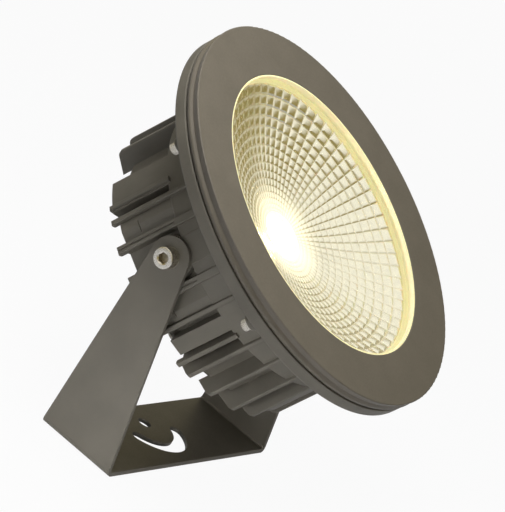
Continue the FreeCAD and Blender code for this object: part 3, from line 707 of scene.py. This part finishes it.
@dataclass(frozen=True)
class LitPhosphor:
    """Yellow phosphor gel with the light of the chips under it."""

    name: str
    gel: Colour = (0.95, 0.72, 0.25)
    light: Colour = LED_LIGHT
    strength: float = 130.0
    chip: float = 1.6 * MM
    chip_reach: float = 0.8
    chip_shade: float = 0.9
    roughness: float = 0.35
    flow: float = 2 * MM
    flow_depth: float = 0.02 * MM
    flow_strength: float = 0.5

    def material(self) -> Material:
        """Builds the material.

        Returns:
            The finished material.
        """
        recipe = Recipe(self.name)
        cells = recipe.node("ShaderNodeTexVoronoi", {"Vector": recipe.place,
                                                     "Scale": 1.0 / self.chip})
        body = recipe.tint(recipe.spread(cells.outputs["Distance"], 0.0, 1.0, 0.0,
                                         self.chip_reach),
                           self.gel, shade(self.gel, self.chip_shade))
        normal = recipe.bump(recipe.noise(self.flow, detail=1.0), self.flow_depth,
                             self.flow_strength)
        return recipe.finish(base_color=body, roughness=self.roughness, normal=normal,
                             emission_color=(*self.light, 1.0), emission_strength=self.strength)


@dataclass(frozen=True)
class ClearPane:
    """Clear toughened glass seen as a thin pane: it mirrors a little and lets light pass."""

    name: str
    tint: Colour = (0.985, 0.995, 0.985)
    ior: float = 1.45
    roughness: float = 0.02
    flow: float = 30 * MM
    flow_depth: float = 0.01 * MM
    flow_strength: float = 0.4

    def material(self) -> Material:
        """Builds the material.

        Returns:
            The finished material.
        """
        recipe = Recipe(self.name)
        uneven = recipe.bump(recipe.noise(self.flow, detail=1.0), self.flow_depth,
                             self.flow_strength)
        fresnel = recipe.node("ShaderNodeFresnel", {"IOR": self.ior}).outputs[0]
        behind = recipe.node("ShaderNodeNewGeometry").outputs["Backfacing"]
        outside = recipe.node("ShaderNodeMath", {0: 1.0, 1: behind}, operation="SUBTRACT")
        through = recipe.node("ShaderNodeBsdfTransparent", {"Color": (*self.tint, 1.0)})
        mirror = recipe.node("ShaderNodeBsdfGlossy", {
            "Roughness": self.roughness, "Normal": uneven, "Color": (*WHITE, 1.0)})
        return recipe.surface(recipe.node("ShaderNodeMixShader", {
            0: recipe.times(fresnel, outside.outputs[0]),
            1: through.outputs[0], 2: mirror.outputs[0]}))


# ---- the head's own frame


@dataclass(frozen=True)
class HeadFrame:
    """Where the lamp head's optical frame stands: +X along the pivot, +Z along the beam."""

    pivot: Vector
    beam_elevation: float = 59.7
    pivot_depth: float = 56.5 * MM

    def matrix(self) -> Matrix:
        """Works out where the optical frame stands.

        Returns:
            Matrix from the optical frame to the object's frame.
        """
        lean = math.radians(self.beam_elevation)
        beam = Vector((0.0, -math.cos(lean), math.sin(lean)))
        upper = Vector((0.0, math.sin(lean), math.cos(lean)))
        turn = Matrix((Vector((1.0, 0.0, 0.0)), upper, beam)).transposed().to_4x4()
        return Matrix.Translation(self.pivot + beam * self.pivot_depth) @ turn

    def seat_behind(self, x: float, y: float, depth: float) -> Matrix:
        """Place whose +Z points backwards from a depth behind the bezel's face."""
        return (self.matrix() @ Matrix.Translation((x, y, -depth))
                @ Matrix.Rotation(math.pi, 4, "X"))


# ---- reflector


@dataclass
class Reflector:
    """Pressed aluminium bowl with pillow-shaped facets, a flat flange and a short neck."""

    mouth_radius: float = 88.2 * MM
    neck_radius: float = 16.0 * MM
    front_depth: float = 7.0 * MM
    bowl_depth: float = 25.0 * MM
    neck_height: float = 1.0 * MM
    flange_radius: float = 93.2 * MM
    wall: float = 0.5 * MM
    columns: int = 64
    rings: int = 16
    ring_growth: float = 1.3
    pillow_steps: tuple[float, ...] = (0.12, 0.3, 0.42)
    pillow_slope: float = 23.0
    neck_margin: float = 1.005
    fold_angle: float = 20.0
    name: str = "reflector_pillows"

    def radius_at(self, ring: int) -> float:
        """Radius of a facet ring, from the neck to the mouth."""
        share = (ring / self.rings) ** self.ring_growth
        return self.neck_radius + (self.mouth_radius - self.neck_radius) * share

    def depth_at(self, radius: float) -> float:
        """Depth of the parabolic bowl behind the bezel's face."""
        fall = ((self.mouth_radius ** 2 - radius ** 2)
                / (self.mouth_radius ** 2 - self.neck_radius ** 2))
        return self.front_depth + self.bowl_depth * fall

    def bowl(self) -> Piece:
        """Draws out neck, facet rings and flange, ring by ring.

        Returns:
            One open sheet.
        """
        start = self.front_depth + self.bowl_depth + self.neck_height
        deselect_all()
        bpy.ops.mesh.primitive_circle_add(vertices=self.columns, radius=self.neck_radius,
                                          location=(0.0, 0.0, -start))
        sheet = rename(bpy.context.object, self.name)
        settle(sheet, sheet.matrix_world.copy())
        steps = [(self.neck_radius, self.front_depth + self.bowl_depth)]
        steps += [(self.radius_at(k), self.depth_at(self.radius_at(k)))
                  for k in range(1, self.rings + 1)]
        steps += [(self.flange_radius, self.front_depth)]
        with editing(sheet):
            bpy.ops.mesh.select_mode(type="VERT")
            bpy.ops.mesh.select_all(action="SELECT")
            radius, depth = self.neck_radius, start
            for next_radius, next_depth in steps:
                bpy.ops.mesh.extrude_region_move(
                    TRANSFORM_OT_translate={"value": (0.0, 0.0, depth - next_depth)})
                grow = next_radius / radius
                bpy.ops.transform.resize(value=(grow, grow, 1.0),
                                         center_override=(0.0, 0.0, -next_depth))
                radius, depth = next_radius, next_depth
            bpy.ops.mesh.select_all(action="SELECT")
            bpy.ops.mesh.normals_make_consistent(inside=False)
        return sheet

    def face_front(self, sheet: Piece) -> None:
        """Turns the sheet's faces towards the front.

        Args:
            sheet: the open sheet.
        """
        widest = max(sheet.data.polygons, key=lambda face: face.center.to_2d().length)
        if widest.normal.z < 0:
            with editing(sheet):
                bpy.ops.mesh.select_all(action="SELECT")
                bpy.ops.mesh.flip_normals()

    def pillows(self, sheet: Piece) -> None:
        """Swells every facet into a round pillow, step by step from its edges inwards.

        Args:
            sheet: the open sheet.
        """
        climb = math.tan(math.radians(self.pillow_slope))
        with editing(sheet):
            inner = self.neck_radius * self.neck_margin
            pick(Element.FACE,
                 lambda middle, normal: inner < middle.to_2d().length < self.mouth_radius)
            gone, risen = 0.0, 0.0
            for step in self.pillow_steps:
                height = climb * (step - step * step)
                bpy.ops.mesh.inset(thickness=(step - gone) / (1 - 2 * gone),
                                   depth=(height - risen) / (1 - 2 * gone),
                                   use_individual=True, use_relative_offset=True,
                                   use_even_offset=False)
                gone, risen = step, height

    def build(self, head: HeadFrame, finish: Material, rim: Material) -> Piece:
        """Makes the reflector and lets it stand for its CAD node.

        Args:
            head: the lamp head's frame.
            finish: the mirror's material.
            rim: the material of the flange.

        Returns:
            The finished piece.
        """
        sheet = self.bowl()
        self.face_front(sheet)
        self.pillows(sheet)
        use_modifier(sheet, "SOLIDIFY", thickness=self.wall, offset=-1.0)
        two_tone(sheet, finish, rim,
                 lambda face: face.center.to_2d().length > self.mouth_radius)
        settle(sheet, head.matrix())
        activate(sheet)
        bpy.ops.object.shade_smooth_by_angle(angle=math.radians(self.fold_angle))
        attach(sheet, Body.HEAD.value)
        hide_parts("reflector")
        return sheet


# ---- LED


@dataclass
class PhosphorGel:
    """Round pool of phosphor gel on the LED board, slightly domed, inside a low dam."""

    radius: float = 11.5 * MM
    base_depth: float = 35.1 * MM
    height: float = 0.5 * MM
    dam_width: float = 0.8 * MM
    dam_drop: float = 0.3
    dome_steps: tuple[float, ...] = (0.25, 0.3, 0.4)
    dome_width: float = 0.55
    dome_rise: float = 0.2
    gel_edge: float = 0.7
    gel_tilt: float = 0.3
    sides: int = 64
    fold_angle: float = 30.0
    name: str = "cob_gel"

    def build(self, head: HeadFrame, gel: Material, dam: Material) -> Piece:
        """Makes the gel with its dam and lets it stand for its CAD node.

        Args:
            head: the lamp head's frame.
            gel: the lit gel's material.
            dam: the dam's material.

        Returns:
            The finished piece.
        """
        pool = cylinder(self.sides, self.radius, self.height, self.height / 2)
        rename(pool, self.name)
        with editing(pool):
            pick(Element.FACE, lambda middle, normal: normal.z > FACING_UP)
            bpy.ops.mesh.inset(thickness=self.dam_width / 2, depth=0.0)
            bpy.ops.mesh.inset(thickness=self.dam_width / 2, depth=-self.height * self.dam_drop)
            for step in self.dome_steps:
                bpy.ops.mesh.inset(thickness=self.radius * step * self.dome_width,
                                   depth=self.height * self.dome_rise * (1 - step))
        activate(pool)
        bpy.ops.object.shade_smooth_by_angle(angle=math.radians(self.fold_angle))
        inner = self.radius - self.dam_width * self.gel_edge
        two_tone(pool, dam, gel, lambda face: (face.center.to_2d().length < inner
                                               and face.normal.z > self.gel_tilt))
        settle(pool, head.matrix() @ Matrix.Translation((0.0, 0.0, -self.base_depth)))
        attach(pool, Body.HEAD.value)
        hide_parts("cob_phosphor")
        return pool


# ---- socket-head screws


@dataclass(frozen=True)
class CapScrew:
    """Socket-head cap screw with a straight-knurled head, standing on its seat, head up."""

    shank_radius: float
    head_radius: float
    head_height: float
    length: float
    socket: float
    knurls: int
    knurl_depth: float = 0.2 * MM
    rim: float = 0.3 * MM
    rim_steps: int = 3
    countersink: float = 0.5 * MM
    mouth_share: float = 0.7
    slope_share: float = 1.6
    sunk_share: float = 0.45
    socket_floor: float = 0.4
    mouth_sides: int = 36
    shank_sides: int = 24
    fold_angle: float = 32.0

    def socket_radius(self) -> float:
        """Radius of the socket's six corners."""
        return self.socket / math.sqrt(3)

    def head(self) -> Piece:
        """Makes the knurled head with rounded rims.

        Returns:
            The head, still without its socket.
        """
        head = cylinder(self.knurls, self.head_radius, self.head_height, self.head_height / 2)
        with editing(head):
            top = self.head_height - SLIVER
            pick(Element.EDGE, lambda end, normal: end.z > top)
            bpy.ops.mesh.bevel(offset=self.rim, segments=self.rim_steps, affect="EDGES")
            pick(Element.FACE, lambda middle, normal: abs(normal.z) < UPRIGHT)
            bpy.ops.mesh.inset(thickness=self.knurl_depth, depth=-self.knurl_depth,
                               use_individual=True)
        return head

    def mouth_tool(self) -> Piece:
        """Makes the cone that cuts the countersink of the socket.

        Returns:
            The cone.
        """
        deselect_all()
        mouth = self.socket_radius() + self.countersink * self.mouth_share
        bpy.ops.mesh.primitive_cone_add(
            vertices=self.mouth_sides, radius1=mouth - self.countersink * self.slope_share,
            radius2=mouth, depth=self.countersink,
            location=(0.0, 0.0, self.head_height - self.countersink * self.sunk_share))
        return bpy.context.object

    def shank(self) -> Piece:
        """Makes the shank, with a bevelled tip, reaching a little into the head.

        Returns:
            The shank.
        """
        shank = cylinder(self.shank_sides, self.shank_radius, self.length + self.rim,
                         (self.rim - self.length) / 2)
        with editing(shank):
            tip = SLIVER - self.length
            pick(Element.EDGE, lambda end, normal: end.z < tip)
            bpy.ops.mesh.bevel(offset=self.rim, segments=1, affect="EDGES")
        return shank

    def model(self) -> Piece:
        """Cuts the socket into the head and joins the shank to it.

        Returns:
            The whole screw.
        """
        head = self.head()
        socket = cylinder(HEXAGON, self.socket_radius(), self.head_height, self.head_height)
        steps = ((socket, "DIFFERENCE"), (self.mouth_tool(), "DIFFERENCE"),
                 (self.shank(), "UNION"))
        for tool, operation in steps:
            use_modifier(head, "BOOLEAN", operation=operation, object=tool, solver="EXACT")
            bpy.data.objects.remove(tool)
        activate(head)
        bpy.ops.object.shade_smooth_by_angle(angle=math.radians(self.fold_angle))
        return head

    def dress(self, head: Piece, finish: Material, shadow: Material) -> None:
        """Gives the screw its finish, and the inside of the socket a darker metal for its painted
        shade.

        Args:
            head: the whole screw.
            finish: the bright metal.
            shadow: the darker metal that paints the shade inside the socket.
        """
        # painted shade: the socket's walls between its floor and countersink wear the darker metal
        floor = self.head_height * self.socket_floor
        lip = self.head_height - self.countersink
        two_tone(head, finish, shadow,
                 lambda face: (face.center.to_2d().length < self.socket_radius()
                               and floor < face.center.z < lip))


@dataclass
class ScrewSet:
    """All the screws of one kind, as one piece."""

    name: str
    replaces: str
    screw: CapScrew
    seats: Sequence[Matrix]

    def build(self, finish: Material, shadow: Material) -> Piece:
        """Models one screw, copies it to every seat and joins the copies.

        Args:
            finish: the bright metal.
            shadow: the darker metal that paints the shade inside the sockets.

        Returns:
            The screws as one piece.
        """
        pattern = self.screw.model()
        self.screw.dress(pattern, finish, shadow)
        copies = []
        for seat in self.seats:
            copy = pattern.copy()
            copy.data = pattern.data.copy()
            bpy.context.scene.collection.objects.link(copy)
            copies.append(settle(copy, seat))
        bpy.data.objects.remove(pattern)
        group = joined(copies, self.name)
        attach(group, Body.HEAD.value)
        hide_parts(self.replaces)
        return group


@dataclass
class Fasteners:
    """Every cap screw that shows."""

    rim_circle: float = 110.0 * MM
    rim_seat: float = 24.1 * MM
    cover_circle: float = 68.5 * MM
    cover_seat: float = 89.8 * MM
    first_angle: float = 30.0
    around: int = 6
    arm_face: float = 94.8 * MM

    def ring(self, head: HeadFrame, circle: float, depth: float) -> list[Matrix]:
        """Seats on a circle about the lamp's axis.

        Args:
            head: the lamp head's frame.
            circle: the circle's radius.
            depth: how far behind the bezel's face the seats lie.

        Returns:
            The place of each screw.
        """
        seats = []
        for k in range(self.around):
            angle = math.radians(self.first_angle + 360 * k / self.around)
            seats.append(head.seat_behind(circle * math.cos(angle), circle * math.sin(angle),
                                          depth))
        return seats

    def pivots(self, head: HeadFrame) -> list[Matrix]:
        """Seats on the outer faces of the arms."""
        return [Matrix.Translation(head.pivot + Vector((side * self.arm_face, 0.0, 0.0)))
                @ Matrix.Rotation(side * math.pi / 2, 4, "Y") for side in (-1, 1)]

    def build(self, head: HeadFrame, finish: Material, shadow: Material) -> list[Piece]:
        """Makes the screws of the bezel, the rear cover and the pivots.

        Args:
            head: the lamp head's frame.
            finish: the bright metal.
            shadow: the darker metal that paints the shade inside the sockets.

        Returns:
            One piece for each kind of screw.
        """
        small = CapScrew(shank_radius=2.0 * MM, head_radius=3.5 * MM, head_height=4.0 * MM,
                         length=20.0 * MM, socket=3.0 * MM, knurls=26)
        short = replace(small, length=12.0 * MM)
        large = CapScrew(shank_radius=4.0 * MM, head_radius=6.5 * MM, head_height=8.0 * MM,
                         length=20.0 * MM, socket=6.0 * MM, knurls=44,
                         knurl_depth=0.22 * MM, rim=0.7 * MM, countersink=0.8 * MM)
        sets = [
            ScrewSet("bezel_cap_screws", "bezel_screws", small,
                     self.ring(head, self.rim_circle, self.rim_seat)),
            ScrewSet("cover_cap_screws", "rear_cover_screws", short,
                     self.ring(head, self.cover_circle, self.cover_seat)),
            ScrewSet("pivot_cap_screws", "pivot_screws", large, self.pivots(head)),
        ]
        return [kind.build(finish, shadow) for kind in sets]


# ---- finishes of the CAD nodes


@dataclass
class Wardrobe:
    """The finishes, made once, and which node wears which."""

    lamp: Vector
    sheet_taupe: Colour = (0.172, 0.158, 0.13)
    cast_taupe: Colour = (0.165, 0.152, 0.125)
    bezel_taupe: Colour = (0.168, 0.148, 0.118)

    def __post_init__(self) -> None:
        """Makes the materials."""
        self.bracket = PowderCoat("bracket_powder_coat", self.sheet_taupe).material()
        self.bezel = PowderCoat("bezel_powder_coat", self.bezel_taupe, roughness=0.42,
                                peel=0.6 * MM, peel_depth=0.016 * MM).material()
        self.casting = PowderCoat("casting_powder_coat", self.cast_taupe, roughness=0.5,
                                  peel=0.8 * MM, peel_depth=0.035 * MM, edge_radius=0.7 * MM,
                                  edge_light=1.7, cloud=0.12).material()
        self.steel = TurnedMetal("stainless_steel", (0.76, 0.73, 0.67)).material()
        # painted shade: darker, duller steel that stands for the shade inside the sockets
        self.socket_shade = TurnedMetal("socket_painted_shade", (0.55, 0.5, 0.4), roughness=0.55,
                                      stain=0.4).material()
        self.driver_can = TurnedMetal("driver_sheet", (0.6, 0.6, 0.6), roughness=0.4,
                                      marks=0.3 * MM).material()
        self.nickel = TurnedMetal("nickel_plating", (0.56, 0.53, 0.47), roughness=0.3,
                                  turned_about=Lathe.ROUND_BEAM).material()
        self.mirror = FacetMirror("facet_aluminium", lamp=self.lamp).material()
        # the flange gets a weak painted glow of the LED's light all over
        self.matt_rim = FacetMirror("rim_aluminium", lamp=self.lamp, colour=(0.86, 0.84, 0.68),
                                    roughness=0.6, painted_glow_colour=(1.0, 0.94, 0.6),
                                    painted_glow_level=0.25, painted_glow_reach=250 * MM).material()
        self.glass = ClearPane("clear_glass").material()
        self.gel = LitPhosphor("phosphor_gel").material()
        self.black_silicone = Moulded("black_silicone_rubber", (0.09, 0.084, 0.073),
                                      roughness=0.65, sheen=0.1).material()
        # the gaskets beside the glass wear a painted glow of the LED's light
        self.clear_silicone = PaintedGlowSilicone("clear_silicone_rubber", (0.6, 0.58, 0.44),
                                         front=Vector(BEAM)).material()
        self.pad = Moulded("thermal_pad_silicone", (0.45, 0.45, 0.47), roughness=0.8).material()
        self.ceramic = Moulded("board_ceramic", (0.85, 0.84, 0.8), roughness=0.35).material()
        self.white_plastic = Moulded("white_plastic_moulding", (0.8, 0.79, 0.75),
                                     roughness=0.4).material()
        # the holder beside the LED wears a painted glow of its light
        self.holder_plastic = Moulded("holder_plastic_moulding", (0.8, 0.79, 0.75),
                                      roughness=0.4, lamp=self.lamp).material()
        self.lead = Moulded("lead_insulation_red", (0.55, 0.05, 0.04), roughness=0.35).material()
        self.nylon = Moulded("nylon_dark", (0.03, 0.03, 0.03), roughness=0.45).material()

    def by_node(self) -> dict[str, Material]:
        """Says what each CAD node wears.

        Returns:
            The finish of each node, by name.
        """
        worn = (
            (self.bracket, "mounting_bracket"),
            (self.bezel, "front_bezel"),
            (self.casting, "housing", "rear_cover"),
            (self.black_silicone, "bezel_gasket", "lead_grommet", "rear_gasket", "gland_washer",
             "gland_seal"),
            (self.clear_silicone, "glass_gasket", "reflector_cushion"),
            (self.glass, "front_glass"),
            (self.mirror, "reflector"),
            (self.pad, "thermal_pad"),
            (self.ceramic, "cob_board"),
            (self.gel, "cob_phosphor"),
            (self.holder_plastic, "cob_holder"),
            (self.white_plastic, "terminal_block"),
            (self.lead, "cob_leads", "mains_leads"),
            (self.driver_can, "driver_case"),
            (self.steel, "bezel_screws", "bezel_washers", "rear_cover_screws", "pivot_screws",
             "cob_holder_screws", "driver_screws", "terminal_screws"),
            (self.nickel, "gland_body", "gland_locknut", "gland_cap"),
            (self.nylon, "pivot_washers"),
        )
        return {name: finish for finish, *names in worn for name in names}

    def dress(self, nodes: dict[str, Piece]) -> None:
        """Gives every CAD node its finish.

        Args:
            nodes: the CAD nodes by name.
        """
        finishes = self.by_node()
        for name, node in nodes.items():
            for holder in node.material_slots:
                holder.material = finishes[name]
            log.info("%s wears %s", name, finishes[name].name)


# ---- studio


@dataclass(frozen=True)
class SoftBox:
    """Square soft light that looks at its aim from an azimuth and an elevation."""

    name: str
    azimuth: float
    elevation: float
    distance: float
    side: float
    power: float
    spread: float = 180.0
    mirrored: bool = True
    aim: Aim = Aim.MIDDLE

    def build(self) -> None:
        """Hangs the light."""
        lamp = bpy.data.lights.new(self.name, "AREA")
        lamp.shape = "SQUARE"
        lamp.size = self.side
        lamp.energy = self.power
        lamp.spread = math.radians(self.spread)
        holder = bpy.data.objects.new(self.name, lamp)
        holder.visible_glossy = self.mirrored
        holder.visible_camera = False
        holder.visible_transmission = False
        bpy.context.scene.collection.objects.link(holder)
        away = direction(self.azimuth, self.elevation)
        holder.matrix_world = stand(Vector(self.aim.value), away, self.distance)


def direction(azimuth: float, elevation: float) -> Vector:
    """Unit vector from the object towards a viewer.

    Args:
        azimuth: degrees round the object; 0 stands in front, at -Y.
        elevation: degrees above the horizon.

    Returns:
        The vector.
    """
    turn, rise = math.radians(azimuth), math.radians(elevation)
    return Vector((math.sin(turn) * math.cos(rise), -math.cos(turn) * math.cos(rise),
                   math.sin(rise)))


def stand(aim: Vector, away: Vector, distance: float) -> Matrix:
    """Place of a light or camera that looks at an aim.

    Args:
        aim: what it looks at.
        away: unit vector from the aim towards it.
        distance: how far off it stands.

    Returns:
        The place.
    """
    return (Matrix.Translation(aim + away * distance)
            @ away.to_track_quat("Z", "Y").to_matrix().to_4x4())


@dataclass(frozen=True)
class Viewpoint:
    """The main camera."""

    aim: Vector = Vector((0.8, -2.5, 128.7)) * MM
    azimuth: float = -66.84
    elevation: float = 17.78
    roll: float = 31.69
    distance: float = 2.3024
    lens: float = 271.97
    sensor: float = 36.0
    sight: float = 50.0

    def build(self) -> None:
        """Sets up the camera."""
        optics = bpy.data.cameras.new("view")
        optics.sensor_width = self.sensor
        optics.sensor_fit = "AUTO"
        optics.lens = self.lens
        optics.clip_end = self.sight
        camera = bpy.data.objects.new("view", optics)
        bpy.context.scene.collection.objects.link(camera)
        away = direction(self.azimuth, self.elevation)
        camera.matrix_world = (stand(self.aim, away, self.distance)
                               @ Matrix.Rotation(math.radians(self.roll), 4, "Z"))
        bpy.context.scene.camera = camera


@dataclass
class Studio:
    """Pale floor, soft lights, plain surroundings and the camera."""

    floor_side: float = 14.0
    floor_gap: float = 0.2 * MM
    floor_colour: Colour = (0.78, 0.78, 0.78)
    floor_white: float = 0.95
    floor_mirrored: float = 0.45
    ambient: float = 0.03
    horizon: Colour = (0.3, 0.235, 0.06)
    zenith: Colour = (1.13, 1.09, 1.0)
    rise_range: tuple[float, float] = (0.29, 0.8)
    boxes: tuple[SoftBox, ...] = (
        SoftBox("top", azimuth=-105, elevation=70, distance=0.56, side=0.3, power=2.3,
                mirrored=False),
        SoftBox("side", azimuth=-95, elevation=10, distance=1.5, side=0.5, power=0.4),
        SoftBox("low_side", azimuth=-90, elevation=3, distance=0.4, side=0.08, power=0.04,
                spread=50, mirrored=False, aim=Aim.FOOT),
        SoftBox("low_front", azimuth=-55, elevation=3, distance=0.62, side=0.12, power=0.09,
                spread=60, mirrored=False, aim=Aim.FOOT),
        SoftBox("front", azimuth=-25, elevation=0, distance=1.2, side=0.2, power=1.6,
                mirrored=False),
        SoftBox("fill", azimuth=118, elevation=12, distance=2.0, side=1.0, power=3,
                mirrored=False),
        SoftBox("back", azimuth=172, elevation=16, distance=2.2, side=1.0, power=1.6),
    )

    def floor(self) -> None:
        """Large pale floor that keeps the object's shadow."""
        deselect_all()
        bpy.ops.mesh.primitive_plane_add(size=self.floor_side, location=(0.0, 0.0, -self.floor_gap))
        plane = rename(bpy.context.object, "floor")
        recipe = Recipe("pale_floor")
        rays = recipe.node("ShaderNodeLightPath").outputs
        lit = recipe.node("ShaderNodeBsdfDiffuse", {"Color": (*self.floor_colour, 1.0)})
        white = recipe.node("ShaderNodeEmission", {"Color": (*WHITE, 1.0)})
        glimpsed = recipe.larger(rays["Is Glossy Ray"], rays["Is Transmission Ray"])
        share = recipe.larger(recipe.times(glimpsed, self.floor_mirrored),
                              recipe.times(rays["Is Camera Ray"], self.floor_white))
        finish = recipe.surface(recipe.node("ShaderNodeMixShader", {
            0: share, 1: lit.outputs[0], 2: white.outputs[0]}))
        plane.data.materials.append(finish)

    def surroundings(self) -> None:
        """Bright for the camera and for mirrors, a plain level for everything else."""
        world = bpy.data.worlds.new("surroundings")
        bpy.context.scene.world = world
        sky = Nodes(world)
        rays = sky.node("ShaderNodeLightPath").outputs
        soft = sky.node("ShaderNodeBackground", {
            "Color": (*WHITE, 1.0), "Strength": self.ambient})
        bright = sky.node("ShaderNodeBackground", {
            "Color": self.seen_colour(sky, rays["Is Glossy Ray"])})
        seen = sky.larger(sky.larger(rays["Is Camera Ray"], rays["Is Glossy Ray"]),
                          rays["Is Transmission Ray"])
        mix = sky.node("ShaderNodeMixShader", {0: seen, 1: soft.outputs[0], 2: bright.outputs[0]})
        sky.node("ShaderNodeOutputWorld", {"Surface": mix.outputs[0]})

    def seen_colour(self, sky: Nodes, mirrored: Socket) -> Socket:
        """White for the camera; for mirrors, white overhead and dim and warm at the horizon.

        Args:
            sky: the surroundings' nodes.
            mirrored: 1 where a mirror looks, 0 elsewhere.

        Returns:
            The colour of the surroundings.
        """
        looked = sky.node("ShaderNodeTexCoord").outputs["Generated"]
        height = sky.node("ShaderNodeSeparateXYZ", {0: looked}).outputs["Z"]
        rise = sky.spread(height, 0.0, 1.0, *self.rise_range, interpolation_type="SMOOTHSTEP")
        return sky.tint(mirrored, WHITE, sky.tint(rise, self.horizon, self.zenith))

    def build(self) -> None:
        """Sets up the whole studio."""
        self.floor()
        self.surroundings()
        for box in self.boxes:
            box.build()
        Viewpoint().build()
        bpy.context.scene.view_settings.view_transform = "Standard"


# ---- everything


def main() -> None:
    """Builds the studio, the finishes and the pieces, in that order."""
    logging.basicConfig(level=logging.INFO, format="%(name)s: %(message)s")
    Studio().build()
    head = HeadFrame(Vector(frame["joints"][0]["pos_m"]))
    wardrobe = Wardrobe(lamp=head.matrix() @ Vector((0.0, 0.0, -PhosphorGel.base_depth)))
    wardrobe.dress(frame["nodes"])
    pieces = [
        Reflector().build(head, wardrobe.mirror, wardrobe.matt_rim),
        PhosphorGel().build(head, wardrobe.gel, wardrobe.holder_plastic),
        *Fasteners().build(head, wardrobe.steel, wardrobe.socket_shade),
    ]
    for piece in pieces:
        log.info("%s: %d faces", piece.name, len(piece.data.polygons))


if __name__ == "__main__":
    main()
